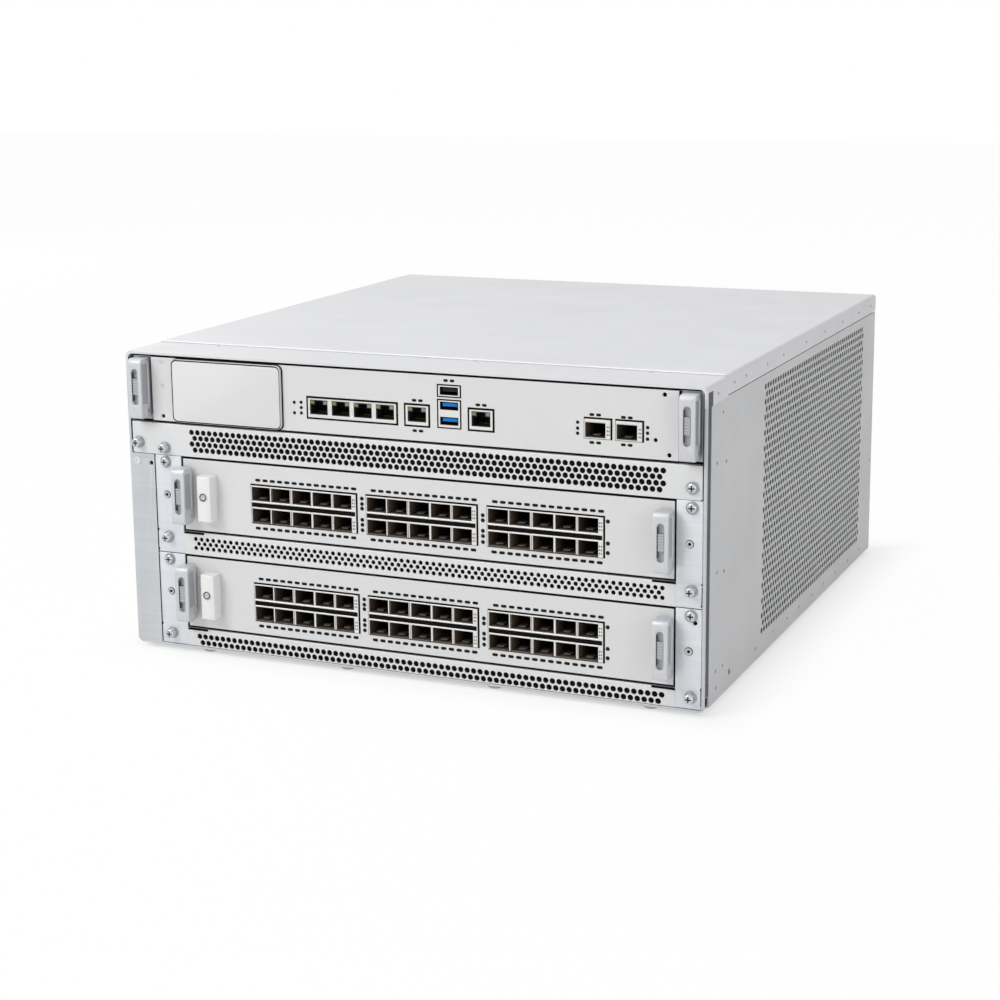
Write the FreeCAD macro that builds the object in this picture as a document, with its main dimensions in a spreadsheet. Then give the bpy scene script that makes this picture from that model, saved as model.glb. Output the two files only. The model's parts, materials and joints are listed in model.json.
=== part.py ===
import FreeCAD, Part
import math
import os
import re
import Sketcher

# A five-unit rack router: a folded chassis with a control module, two line cards, fans and power supplies.
# X runs across the front, Y from the front to the rear, Z up; the feet stand on Z = 0.

SIZES = [
    # Chassis, as seen from the front
    ("body_width", 442.0, "across the front lip"),
    ("body_depth", 470.0, "front lip to rear panel"),
    ("lip_width", 2.0, "side lip of the bezel"),
    ("bezel_thick", 2.0, "front bezel plate"),
    ("bezel_radius", 4.0, "outer corners of the bezel"),
    ("column_width", 20.8, "wide left column of the bezel"),
    ("bottom_lip", 1.5, "lip below the lowest strip"),
    ("lower_strip", 13.9, "height of the lowest intake strip"),
    ("card_slot", 55.7, "height of a line card slot"),
    ("middle_strip", 17.6, "height of the middle intake strip"),
    ("upper_strip", 24.0, "height of the upper intake strip"),
    ("supervisor_slot", 49.8, "height of the control module slot"),
    ("top_lip", 1.8, "lip above the control module"),
    ("cage_left", 43.2, "left edge to the line card cage"),
    ("cage_right", 20.5, "right edge to the line card cage"),
    ("plate_gap", 0.4, "line between fixed front plates"),
    ("slot_gap", 1.1, "line round a module's panel"),
    ("fit_gap", 0.2, "play between flat sliding faces"),
    ("strip_setback", 0.5, "bezel face to strip face"),
    ("strip_thick", 1.2, "intake strips and jambs"),
    ("strip_radius", 2.5, "lower corners of the upper strip"),
    # Chassis sheets
    ("sheet_thick", 1.2, "pan, walls, covers and rear panel"),
    ("shelf_thick", 1.0, "cage shelves"),
    ("flange_thick", 1.0, "return flanges inside the walls"),
    ("wall_inset", 0.8, "bezel side to wall face"),
    ("return_hold", 0.4, "return flange behind the lip"),
    ("recess_depth", 12.0, "side channel behind the bezel"),
    ("recess_end", 8.0, "channel stops short of the corners"),
    ("lap_height", 20.0, "wall lap under the cover flange"),
    ("hood_depth", 46.0, "front hood, front to back"),
    ("hood_flange", 14.0, "hood side flange"),
    ("cover_rise", 1.0, "cover above the hood"),
    ("cover_inset", 0.5, "cover side inside the bezel side"),
    ("cover_flange", 14.0, "cover side flange"),
    ("flange_line", 0.6, "line between cover flange and wall"),
    ("bend_radius", 2.5, "outside of a cover bend"),
    ("foot_height", 3.5, "feet under the pan"),
    ("foot_radius", 6.0, "feet"),
    ("foot_setback", 9.0, "first row of feet behind the lip"),
    ("foot_left", 57.0, "left edge to the first foot"),
    ("foot_right", 40.0, "right edge to the last foot"),
    # Perforation
    ("vent_left", 54.0, "left edge to the first hole of a strip"),
    ("vent_right", 29.0, "right edge to the last hole of a strip"),
    ("vent_pitch", 24.5, "between openings of a row"),
    ("vent_row", 6.0, "between rows"),
    ("vent_width", 19.0, "one opening"),
    ("vent_height", 4.2, "one opening"),
    ("grille_front", 135.0, "lip to the side wall's perforated field"),
    ("grille_rear", 42.0, "rear panel to the field"),
    ("grille_low", 15.5, "pan to the field"),
    ("grille_high", 200.0, "pan to the top of the field"),
    ("grille_pitch", 56.0, "between openings along the wall"),
    ("grille_row", 44.0, "between rows of openings"),
    ("grille_bar", 10.0, "bar between openings"),
    # Rack ear holes in the side walls
    ("ear_setback", 46.0, "lip to the ear holes"),
    ("ear_low", 19.0, "pan to the lower ear holes"),
    ("ear_rise", 145.0, "between ear holes, up"),
    ("ear_hole", 1.65, "radius of an ear hole"),
    # Cage, guides and midplane
    ("midplane_depth", 318.0, "lip to the midplane"),
    ("midplane_thick", 3.0, "midplane board"),
    ("midplane_margin", 16.0, "side wall face to the midplane"),
    ("socket_length", 8.0, "midplane connectors"),
    ("plug_length", 18.0, "module connectors"),
    ("plug_height", 11.0, "connectors"),
    ("plug_width", 70.0, "connectors"),
    ("guide_start", 20.0, "lip to the guide rails"),
    ("guide_height", 3.5, "one rail"),
    ("guide_hold", 4.0, "rail over the board's edge"),
    ("board_thick", 2.0, "circuit boards"),
    ("board_side", 4.0, "cage wall to a board's edge"),
    ("sink_height", 18.0, "heat sinks"),
    # Module panels
    ("panel_setback", 1.0, "bezel face to panel face"),
    ("panel_thick", 1.5, "module panels"),
    ("module_play", 0.6, "control module to the return flanges"),
    ("wing_left", 20.8, "left edge to the control panel's raised face"),
    ("wing_right", 19.7, "right edge to the raised face"),
    ("wing_setback", 3.0, "raised face to the lever plates"),
    ("cover_left", 39.2, "left edge to the blank cover"),
    ("cover_width", 90.6, "blank cover"),
    ("cover_height", 45.8, "blank cover"),
    ("cover_lift", 1.8, "slot floor to the blank cover"),
    ("cover_thick", 3.2, "blank cover, proud of the panel"),
    ("cover_radius", 4.0, "blank cover corners"),
    ("screw_hole", 1.5, "small holes in the panels"),
    ("hole_left", 29.4, "side edge to a small hole"),
    ("hole_right", 26.0, "side edge to a small hole"),
    ("hole_inner", 35.5, "side edge to a small hole"),
    ("hole_low", 4.9, "slot's edge to a small hole"),
    ("hole_high", 14.3, "slot floor to a small hole"),
    ("column_hole", 18.0, "left edge to the column's hole"),
    ("column_drop", 6.6, "upper strip to the column's hole"),
    ("jamb_hole", 7.0, "right edge to the jamb's hole"),
    ("jamb_drop", 9.6, "middle strip to the jamb's hole"),
    # Ports of the control module, from the centre line and from the slot's floor
    ("shell_floor", 12.4, "slot floor to the port shells"),
    ("shell_proud", 0.3, "shells in front of the panel"),
    ("port_border", 4.0, "panel section beside a block of ports"),
    ("shell_back", 0.8, "back plates of the shells"),
    ("jack_depth", 16.0, "network jacks"),
    ("jack_base", 2.2, "below a jack's opening"),
    ("jack_width", 14.0, "jack opening"),
    ("jack_height", 10.4, "jack opening"),
    ("jack_roof", 1.0, "above a jack's opening"),
    ("jack_side", 1.55, "beside a jack's opening"),
    ("jack_pitch", 17.23, "between the four jacks"),
    ("jack_row_x", -71.6, "row of jacks"),
    ("jack_one_x", 4.5, "single jack"),
    ("jack_two_x", 52.5, "single jack"),
    ("usb_x", 29.4, "USB ports"),
    ("usb_depth", 14.0, "USB ports"),
    ("usb_width", 13.7, "USB opening"),
    ("usb_height", 5.6, "USB opening"),
    ("usb_side", 1.2, "beside a USB opening"),
    ("usb_base", 1.6, "below the lowest USB opening"),
    ("usb_step", 10.5, "between the stacked USB openings"),
    ("usb_roof", 0.8, "above a USB opening"),
    ("usb_riser", 3.1, "stack to the single USB port"),
    ("tongue_thick", 1.9, "USB contact tongue"),
    ("tongue_drop", 1.0, "tongue below the roof"),
    ("tongue_inset", 1.4, "tongue behind the shell's face"),
    ("tongue_side", 1.2, "tongue to the side of the opening"),
    ("optic_right", 85.2, "right edge to the first pluggable cage"),
    ("optic_roof", 2.2, "above a single cage's opening"),
    ("optic_step", 22.1, "between the two cages"),
    # Pluggable port cages
    ("port_width", 14.4, "port opening"),
    ("port_height", 10.2, "port opening"),
    ("port_pitch", 16.5, "between ports"),
    ("cage_wall", 0.6, "left of the first port"),
    ("cage_end", 3.4, "right of the last port"),
    ("cage_floor", 0.6, "below the lower port"),
    ("cage_middle", 5.8, "between the rows"),
    ("cage_roof", 0.9, "above the upper port"),
    ("cage_depth", 46.0, "cage, front to back"),
    ("cage_shift", 3.15, "port groups, right of the card's middle"),
    ("cage_step", 92.5, "between groups"),
    ("cage_lift", 11.1, "slot floor to the cages"),
    # Levers
    ("lever_reach", 13.0, "lever face in front of the lip"),
    ("lever_width", 11.0, "lever"),
    ("lever_front", 7.8, "pivot to the lever's face"),
    ("lever_back", 4.4, "pivot to the lever's back"),
    ("lever_foot", 5.0, "lever below the pivot"),
    ("lever_rise", 36.0, "card lever above the pivot"),
    ("control_rise", 38.8, "control lever above the pivot"),
    ("lever_wall", 3.0, "lever's front wall"),
    ("lever_cheek", 2.5, "lever's side walls"),
    ("lever_cap", 5.0, "lever's top wall"),
    ("lever_edge", 1.0, "chamfer round the lever's face"),
    ("lever_heel", 3.0, "corner cut at the lever's heel"),
    ("lever_crown", 4.0, "slope at the lever's top"),
    ("cheek_recess", 0.8, "panel sunk in the lever's sides"),
    ("cheek_border", 2.0, "border of the sunk panel"),
    ("slot_width", 5.2, "thumb slot"),
    ("slot_length", 26.5, "thumb slot"),
    ("slot_drop", 20.5, "lever's top to the thumb slot's middle"),
    ("pin_radius", 1.5, "lever pin"),
    ("pin_play", 0.05, "lug bore over the pin"),
    ("lug_radius", 3.5, "lug round the pin"),
    ("lug_width", 5.4, "lug inside the lever"),
    ("thumb_width", 4.4, "latch in the slot"),
    ("thumb_height", 12.0, "latch in the slot"),
    ("thumb_sunk", 0.6, "latch below the lever's face"),
    ("latch_play", 0.1, "latch plate behind the front wall"),
    ("latch_plate", 1.5, "latch plate"),
    ("latch_width", 5.6, "latch plate"),
    ("latch_height", 18.0, "latch plate"),
    ("control_lever_left", 13.2, "left edge to the control lever's middle"),
    ("control_lever_right", 10.6, "right edge to the control lever's middle"),
    ("supervisor_lift", 3.6, "slot floor to the control lever"),
    ("card_lever_left", 47.6, "left edge to the left lever's middle"),
    ("card_lever_right", 27.0, "right edge to the right lever's middle"),
    ("card_lift", 8.0, "slot floor to a card lever"),
    # Screw block of a line card
    ("block_left", 60.6, "left edge to the block"),
    ("block_width", 12.0, "block"),
    ("block_height", 33.4, "block"),
    ("block_depth", 10.0, "block, proud of the panel"),
    ("block_lift", 10.5, "slot floor to the block"),
    ("block_edge", 2.0, "block's chamfer"),
    ("block_screw", 3.2, "radius of the block's screw"),
    ("block_screw_rise", 1.8, "block's middle to its screw"),
    ("block_head", 0.8, "screw head on the block"),
    # Fasteners
    ("screw_column", 8.3, "left edge to the column's screw"),
    ("screw_left", 30.3, "left edge to the left screws"),
    ("screw_right", 9.6, "right edge to the right screws"),
    ("screw_rise", 8.5, "upper strip's floor to its screws"),
    ("screw_inner", 5.7, "upper strip's floor to its inner screw"),
    ("screw_drop", 5.5, "top of a lower strip to its screws"),
    ("jamb_screw", 4.8, "top of a jamb to its screw"),
    ("rivet_right", 11.2, "right edge to the right rivets"),
    ("rivet_rise", 26.3, "slot floor to a jamb's rivet"),
    ("washer_radius", 4.4, "front screws"),
    ("washer_thick", 0.9, "front screws"),
    ("head_radius", 3.4, "front screws"),
    ("tall_head", 5.0, "captive screws"),
    ("low_head", 1.9, "pan heads"),
    ("rivet_radius", 2.5, "front rivets"),
    ("rivet_proud", 0.6, "front rivets"),
    ("seam_radius", 1.6, "cover screws"),
    ("seam_proud", 0.4, "cover screws"),
    ("seam_offset", 4.0, "seam to the cover screws"),
    ("seam_inner", 39.0, "centre line to the inner cover screws"),
    ("seam_outer", 168.0, "centre line to the outer cover screws"),
    # Rear modules
    ("rear_reach", 16.0, "handles behind the rear panel"),
    ("deck_height", 56.6, "pan to the rear deck"),
    ("fan_size", 120.0, "fan frame"),
    ("fan_rim", 2.5, "frame round a fan's duct"),
    ("fan_gap", 4.0, "between fan frames"),
    ("fan_depth", 34.0, "fan frame"),
    ("blade_play", 2.0, "duct to the blades"),
    ("fan_hub", 21.0, "radius of the hub"),
    ("fan_strut", 4.0, "motor struts"),
    ("motor_thick", 3.0, "motor plate"),
    ("shaft_radius", 2.5, "fan shaft"),
    ("shaft_play", 0.05, "bearing over the shaft"),
    ("rotor_gap", 0.3, "rotor to the motor plate"),
    ("rotor_depth", 24.0, "rotor"),
    ("blade_chord", 28.0, "fan blades"),
    ("blade_thick", 1.8, "fan blades"),
    ("blade_turn", 42.0, "slant of the blades, degrees"),
    ("tray_lip", 8.0, "tray plate over the rear panel"),
    ("tray_side", 10.0, "fan frame to the rear opening"),
    ("tray_screw", 5.0, "radius of the tray's thumb screws"),
    ("tray_knob", 8.0, "length of the thumb screws"),
    ("supply_width", 101.6, "power supply"),
    ("supply_height", 40.0, "power supply"),
    ("supply_front", 326.0, "lip to a supply's inner end"),
    ("supply_inset", 28.2, "side wall to a supply"),
    ("supply_proud", 1.0, "supply face behind the rear panel"),
    ("inlet_width", 24.0, "power inlet"),
    ("inlet_height", 16.5, "power inlet"),
    ("inlet_depth", 15.0, "power inlet"),
    ("inlet_offset", 30.0, "supply's middle to the inlet"),
    ("handle_width", 8.0, "supply handle"),
    ("handle_bar", 4.0, "supply handle"),
    ("handle_height", 30.0, "supply handle"),
    ("tab_width", 14.0, "release tab"),
    ("tab_height", 8.0, "release tab"),
    ("tab_depth", 5.0, "release tab"),
    ("tab_edge", 1.0, "release tab's chamfer"),
    ("tab_offset", 22.0, "supply's middle to the tab"),
    ("ground_radius", 2.5, "earth lug holes"),
    ("ground_step", 15.88, "between the earth lug holes"),
    ("ground_height", 30.0, "pan to the earth lug holes"),
]

# Places that follow from the driving dimensions
PLACES = [
    ("left_x", "-body_width / 2"),
    ("right_x", "body_width / 2"),
    ("front_y", "(lever_reach - rear_reach - body_depth) / 2"),
    ("rear_y", "front_y + body_depth"),
    ("base_z", "foot_height"),
    ("pan_z", "base_z + sheet_thick"),
    ("lower_z", "base_z + bottom_lip"),
    ("card_2_z", "lower_z + lower_strip"),
    ("middle_z", "card_2_z + card_slot"),
    ("card_1_z", "middle_z + middle_strip"),
    ("upper_z", "card_1_z + card_slot"),
    ("supervisor_z", "upper_z + upper_strip"),
    ("lip_z", "supervisor_z + supervisor_slot"),
    ("hood_z", "lip_z + top_lip"),
    ("cover_z", "hood_z + cover_rise"),
    ("wall_outer", "body_width / 2 - wall_inset"),
    ("wall_inner", "wall_outer - sheet_thick"),
    ("inner_half", "wall_inner - flange_thick"),
    ("module_half", "inner_half - module_play"),
    ("foot_step", "(body_width - foot_left - foot_right) / 3"),
    ("wall_top_z", "cover_z - cover_flange - flange_line"),
    ("cage_left_x", "left_x + cage_left"),
    ("cage_right_x", "right_x - cage_right"),
    ("group_width", "cage_wall + 4 * port_pitch + port_width + cage_end"),
    ("group_x", "(cage_left_x + cage_right_x - group_width) / 2 + cage_shift - cage_step"),
    ("strip_y", "front_y + strip_setback"),
    ("shelf_y", "strip_y + strip_thick"),
    ("panel_y", "front_y + panel_setback"),
    ("back_y", "panel_y + panel_thick"),
    ("wing_y", "panel_y + wing_setback"),
    ("wing_back_y", "wing_y + panel_thick"),
    ("midplane_y", "front_y + midplane_depth"),
    ("rear_board_y", "midplane_y + midplane_thick"),
    ("plug_end_y", "midplane_y - socket_length - fit_gap"),
    ("pivot_y", "front_y - lever_reach + lever_front"),
    ("shell_y", "panel_y - shell_proud"),
    ("shell_z", "supervisor_z + shell_floor"),
    ("rear_inner_y", "rear_y - sheet_thick"),
    ("deck_z", "base_z + deck_height"),
    ("tray_z", "deck_z + sheet_thick + fit_gap"),
    ("fan_bore", "fan_size / 2 - fan_rim"),
    ("fan_tip", "fan_bore - blade_play"),
    ("fan_pitch", "fan_size + fan_gap"),
    ("fan_z", "tray_z + sheet_thick + fan_size / 2"),
    ("fan_y", "rear_y - fan_depth"),
    ("tray_half", "fan_pitch + fan_size / 2 + tray_side"),
    ("tray_top_z", "tray_z + sheet_thick + fan_size + slot_gap"),
    ("supply_z", "pan_z + fit_gap"),
    ("supply_middle", "wall_inner - supply_inset - supply_width / 2"),
    ("supply_face_y", "rear_y + supply_proud"),
]

doc = FreeCAD.newDocument("AggregationRouter")
sheet = doc.addObject("Spreadsheet::Sheet", "Dims")
NAMES = set()
NODES = []


def fill_sheet():
    """Writes the driving dimensions and the places that follow from them."""
    row = 0
    for alias, value, note in SIZES:
        row += 1
        sheet.set(f"A{row}", alias)
        sheet.set(f"B{row}", str(value))
        sheet.set(f"C{row}", note)
        sheet.setAlias(f"B{row}", alias)
        NAMES.add(alias)
    for alias, formula in PLACES:
        row += 1
        sheet.set(f"A{row}", alias)
        sheet.set(f"B{row}", "=" + formula)
        sheet.setAlias(f"B{row}", alias)
        NAMES.add(alias)
    doc.recompute()


fill_sheet()
TURN = {
    "x": FreeCAD.Rotation(FreeCAD.Vector(0, 1, 0), 90),
    "y": FreeCAD.Rotation(FreeCAD.Vector(1, 0, 0), -90),
    "z": FreeCAD.Rotation(),
}
HOLE_SIDES, HEAD_SIDES, FOOT_SIDES, DUCT_SIDES, HUB_SIDES = 6, 8, 6, 16, 10
WORD = re.compile(r"[a-z][a-z0-9_]*")


def size(alias):
    """A dimension read from the sheet."""
    return float(sheet.get(alias))


def on_sheet(text):
    """An expression with each dimension's name read from the sheet."""
    return WORD.sub(lambda found: "Dims." + found.group(0) if found.group(0) in NAMES else found.group(0), text)


def bind(item, prop, text):
    """Binds one property to an expression of dimensions."""
    item.setExpression(prop, on_sheet(text))


def block(name, x, y, z):
    """A box between pairs of expressions along X, Y and Z."""
    box = doc.addObject("Part::Box", name)
    for (low, high), side, axis in zip((x, y, z), ("Length", "Width", "Height"), "xyz"):
        bind(box, side, f"({high}) - ({low})")
        bind(box, f"Placement.Base.{axis}", low)
    return box


def rod(name, radius, length, at, axis):
    """A cylinder that starts at a point and runs along one axis."""
    cylinder = doc.addObject("Part::Cylinder", name)
    bind(cylinder, "Radius", radius)
    bind(cylinder, "Height", length)
    cylinder.Placement.Rotation = TURN[axis]
    for letter, text in zip("xyz", at):
        bind(cylinder, f"Placement.Base.{letter}", text)
    return cylinder


def disc(name, sides, radius, length, at, axis):
    """A many-sided prism that starts at a point and runs along one axis."""
    prism = doc.addObject("Part::Prism", name)
    prism.Polygon = sides
    bind(prism, "Circumradius", radius)
    bind(prism, "Height", length)
    prism.Placement.Rotation = TURN[axis]
    for letter, text in zip("xyz", at):
        bind(prism, f"Placement.Base.{letter}", text)
    return prism


def fused(name, pieces):
    """One solid from pieces that meet."""
    fuse = doc.addObject("Part::MultiFuse", name)
    fuse.Shapes = pieces
    fuse.Refine = True
    return fuse


def grouped(name, pieces):
    """Separate solids that share a node."""
    group = doc.addObject("Part::Compound", name)
    group.Links = pieces
    return group


def cut(name, base, tools):
    """A piece with its openings taken out."""
    result = doc.addObject("Part::Cut", name)
    result.Base = base
    result.Tool = tools[0] if len(tools) == 1 else grouped(name + "_openings", tools)
    result.Refine = True
    return result


def rounded(name, base, radius, along, chosen=None, kind="Part::Fillet"):
    """Rounds or chamfers the straight edges that run along one axis and that the test chooses."""
    doc.recompute()
    direction = {"x": FreeCAD.Vector(1, 0, 0), "y": FreeCAD.Vector(0, 1, 0), "z": FreeCAD.Vector(0, 0, 1)}
    edges = []
    for index, edge in enumerate(base.Shape.Edges, start=1):
        if len(edge.Vertexes) != 2 or edge.Curve.TypeId != "Part::GeomLine":
            continue
        run = edge.Vertexes[1].Point - edge.Vertexes[0].Point
        lined_up = any(abs(run.dot(direction[letter])) > 0.999 * run.Length for letter in along)
        if lined_up and (chosen is None or chosen(edge.CenterOfMass)):
            edges.append((index, radius, radius))
    result = doc.addObject(kind, name)
    result.Base = base
    result.Edges = edges
    return result


def punches(name, centres, outline, axis, start, length):
    """A group of prisms for a perforated field: an outline of (u, v) points at each centre."""
    place = {"x": lambda u, v: FreeCAD.Vector(start, u, v), "y": lambda u, v: FreeCAD.Vector(u, start, v)}[axis]
    along = FreeCAD.Vector(length, 0, 0) if axis == "x" else FreeCAD.Vector(0, length, 0)
    prisms = []
    for cu, cv in centres:
        ring = [place(cu + u, cv + v) for u, v in outline]
        prisms.append(Part.Face(Part.makePolygon(ring + ring[:1])).extrude(along))
    tool = doc.addObject("Part::Feature", name)
    tool.Shape = Part.makeCompound(prisms)
    return tool


def node(label, item):
    """Names a finished sub-part."""
    item.Label = label
    NODES.append(item)
    return item


def from_left(text):
    return f"left_x + {text}"


def behind(text):
    return f"front_y + {text}"


# Chassis shell


def base_pan():
    node("base_pan", block("Pan", ("-wall_inner", "wall_inner"),
                           ("front_y + bezel_thick", "rear_inner_y"), ("base_z", "pan_z")))


def grille_centres():
    """Openings of a side wall's field, staggered from row to row."""
    pitch, row = size("grille_pitch"), size("grille_row")
    first, last = size("front_y") + size("grille_front"), size("rear_y") - size("grille_rear")
    low, high = size("base_z") + size("grille_low"), size("base_z") + size("grille_high")
    rows = int((high - low) / row)
    columns = int((last - first) / pitch)
    rise = low + (high - low - (rows - 1) * row) / 2
    run = first + (last - first - (columns - 0.5) * pitch) / 2
    return [(run + (c + 0.5 * (r % 2)) * pitch + pitch / 4, rise + r * row)
            for r in range(rows) for c in range(columns)]


def side_wall(side, sign):
    def across(near, far):
        return (near, far) if sign > 0 else (f"-({far})", f"-({near})")

    name = side.capitalize() + "Wall"
    start = behind("recess_depth")
    sheet_part = block(name + "Sheet", across("wall_inner", "wall_outer"), (start, "rear_y"),
                       ("base_z", "wall_top_z"))
    fold = block(name + "Fold", across("inner_half", "wall_inner"), (start, f"{start} + sheet_thick"),
                 ("base_z + recess_end", "wall_top_z"))
    lap = block(name + "Lap", across("inner_half", "wall_inner"), (start, "rear_inner_y"),
                ("wall_top_z - lap_height / 2", "wall_top_z + lap_height / 2"))
    width, height = size("grille_pitch") - size("grille_bar"), size("grille_row") - size("grille_bar")
    half = [(-width / 2, 0), (-width / 4, -height / 2), (width / 4, -height / 2),
            (width / 2, 0), (width / 4, height / 2), (-width / 4, height / 2)]
    edge = size("inner_half") if sign > 0 else -size("wall_outer")
    through = size("wall_outer") - size("inner_half")
    tools = [punches(name + "Field", grille_centres(), half, "x", edge, through)]
    for up in ("ear_low", "ear_low + ear_rise"):
        tools.append(rod(name + "Ear", "ear_hole", "sheet_thick",
                         (across("wall_inner", "wall_outer")[0], behind("ear_setback"), f"base_z + {up}"), "x"))
    node(f"{side}_side_wall", cut(name, fused(name + "Folded", [sheet_part, fold, lap]), tools))


def folded_cover(label, name, half, y, top, flange):
    """A sheet folded down at both sides, with rounded bends."""
    outer = block(name + "Outer", (f"-({half})", half), y, (f"{top} - {flange}", top))
    inner = block(name + "Inner", (f"-({half}) + sheet_thick", f"{half} - sheet_thick"), y,
                  (f"{top} - {flange}", f"{top} - sheet_thick"))
    doc.recompute()

    def is_bend(middle):
        return middle.z > outer.Shape.CenterOfMass.z

    node(label, cut(name, rounded(name + "Bend", outer, size("bend_radius"), "y", is_bend), [inner]))


def front_bezel():
    """The lip round the front, wide at the left below the upper strip, with a return flange at each side."""
    y = ("front_y", "front_y + bezel_thick")
    plate = block("BezelPlate", ("left_x", "right_x"), y, ("base_z", "hood_z"))
    corners = rounded("BezelCorners", plate, size("bezel_radius"), "y")
    lower = block("BezelLower", ("left_x + column_width", "right_x - lip_width"), y, ("lower_z", "upper_z"))
    upper = block("BezelUpper", ("left_x + lip_width", "right_x - lip_width"), y, ("upper_z", "lip_z"))
    hole = disc("ColumnHole", HOLE_SIDES, "screw_hole", "bezel_thick",
                (from_left("column_hole"), "front_y", "upper_z - column_drop"), "y")
    frame = cut("BezelFrame", corners, [lower, upper, hole])
    pieces = [frame]
    near, far = "inner_half + return_hold", "wall_inner + return_hold"
    for name, x in (("Right", (near, far)), ("Left", (f"-({far})", f"-({near})"))):
        pieces.append(block(f"BezelReturn{name}", x, ("front_y + bezel_thick", behind("recess_depth")),
                            ("base_z + recess_end", "hood_z - recess_end")))
    node("front_bezel", fused("Bezel", pieces))


def rear_panel():
    plate = block("RearPlate", ("-inner_half + fit_gap", "inner_half - fit_gap"), ("rear_inner_y", "rear_y"),
                  ("base_z", "cover_z - sheet_thick - fit_gap"))
    y = ("rear_inner_y", "rear_y")
    openings = [block("FanOpening", ("-tray_half", "tray_half"), y, ("tray_z - slot_gap", "tray_top_z"))]
    for sign in ("-", ""):
        middle = f"{sign}supply_middle"
        openings.append(block("SupplyOpening", (f"{middle} - supply_width / 2 - slot_gap",
                                                f"{middle} + supply_width / 2 + slot_gap"), y,
                              ("pan_z", "supply_z + supply_height + slot_gap")))
        openings.append(rod("GroundHole", "ground_radius", "sheet_thick",
                            (f"{sign}ground_step / 2", "rear_inner_y", "base_z + ground_height"), "y"))
    node("rear_panel", cut("Rear", plate, openings))


# Intake strips and jambs


def vent_outline():
    width, height = size("vent_width") / 2, size("vent_height") / 2
    return [(-width, -height), (width, -height), (width, height), (-width, height)]


def vent_centres(low, high):
    """Staggered rows of holes in a strip between two heights."""
    pitch, row = size("vent_pitch"), size("vent_row")
    first, last = size("left_x") + size("vent_left"), size("right_x") - size("vent_right")
    rows = max(1, int((high - low - size("vent_height") / 2) / row))
    middle = (low + high) / 2
    columns = int((last - first) / pitch)
    return [(first + (c + 0.5 * (r % 2)) * pitch, middle + (r - (rows - 1) / 2) * row)
            for r in range(rows) for c in range(columns)]


def intake(label, name, x, low, high, corner=None):
    y = ("strip_y", "shelf_y")
    plate = block(name + "Plate", x, y, (low, high))
    if corner:
        doc.recompute()
        middle = plate.Shape.CenterOfMass.z
        plate = rounded(name + "Corners", plate, size(corner), "y", lambda point: point.z < middle)
    doc.recompute()
    span = plate.Shape.BoundBox
    holes = punches(name + "Holes", vent_centres(span.ZMin, span.ZMax), vent_outline(), "y",
                    size("strip_y"), size("strip_thick"))
    node(label, cut(name, plate, [holes]))


def ear_plates():
    """The plain ends of the two lower strips and the jambs beside the cards."""
    y = ("strip_y", "shelf_y")
    left = ("left_x + column_width + plate_gap", "cage_left_x")
    right = ("cage_right_x", "right_x - lip_width - plate_gap")
    ears, jambs = [], []
    for x in (left, right):
        ears.append(block("LowerEar", x, y, ("lower_z + plate_gap", "card_2_z - plate_gap")))
        ears.append(block("MiddleEar", x, y, ("middle_z + plate_gap", "card_1_z - plate_gap")))
        jambs.append(block("UpperJamb", x, y, ("card_1_z", "upper_z")))
        jambs.append(block("LowerJamb", x, y, ("card_2_z", "middle_z")))
    node("intake_ears", grouped("IntakeEars", ears))
    hole = disc("JambHole", HOLE_SIDES, "screw_hole", "strip_thick",
                ("right_x - jamb_hole", "strip_y", "middle_z - jamb_drop"), "y")
    jambs[3] = cut("LowerJambPunched", jambs[3], [hole])
    node("cage_jambs", grouped("CageJambs", jambs))


# Cage, guides and midplane


def card_cage():
    y = ("shelf_y", "midplane_y")
    full = ("-inner_half + fit_gap", "inner_half - fit_gap")
    cage = ("cage_left_x", "cage_right_x")
    plates = [
        block("ShelfTop", full, y, ("supervisor_z - shelf_thick", "supervisor_z")),
        block("ShelfUpper", full, y, ("upper_z", "upper_z + shelf_thick")),
        block("ShelfMiddleTop", cage, y, ("card_1_z - shelf_thick", "card_1_z")),
        block("ShelfMiddle", cage, y, ("middle_z", "middle_z + shelf_thick")),
        block("ShelfLower", cage, y, ("card_2_z - shelf_thick", "card_2_z")),
        block("CageLeft", ("cage_left_x - shelf_thick", "cage_left_x"), y, ("pan_z", "upper_z")),
        block("CageRight", ("cage_right_x", "cage_right_x + shelf_thick"), y, ("pan_z", "upper_z")),
        block("RearDeck", full, ("rear_board_y", "rear_inner_y"), ("deck_z", "deck_z + sheet_thick")),
    ]
    node("card_cage", grouped("CardCage", plates))


def guide_pair(name, wall_left, wall_right, reach, board_top):
    """Four rails that hold a board's two edges from below and above."""
    rails = []
    y = (behind("guide_start"), "plug_end_y")
    below = (f"{board_top} - board_thick - fit_gap - guide_height", f"{board_top} - board_thick - fit_gap")
    above = (f"{board_top} + fit_gap", f"{board_top} + fit_gap + guide_height")
    for z in (below, above):
        rails.append(block(name + "Left", (wall_left, f"{wall_left} + {reach}"), y, z))
        rails.append(block(name + "Right", (f"{wall_right} - ({reach})", wall_right), y, z))
    return rails


CARDS = (("card_1", "card_1_z"), ("card_2", "card_2_z"))
CARD_REACH = "board_side + guide_hold"
SUPERVISOR_REACH = "wall_inner - module_half + board_side + guide_hold"


def card_guides():
    rails = guide_pair("ControlRail", "-wall_inner", "wall_inner", SUPERVISOR_REACH, "shell_z")
    for name, slot in CARDS:
        rails += guide_pair("CardRail", "cage_left_x", "cage_right_x", CARD_REACH, f"{slot} + cage_lift")
    node("card_guides", grouped("CardGuides", rails))


def connector(name, x_middle, y, z_low):
    return block(name, (f"{x_middle} - plug_width / 2", f"{x_middle} + plug_width / 2"), y,
                 (z_low, f"{z_low} + plug_height"))


CONNECTOR_SPOTS = ("-plug_width", "plug_width")


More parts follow.
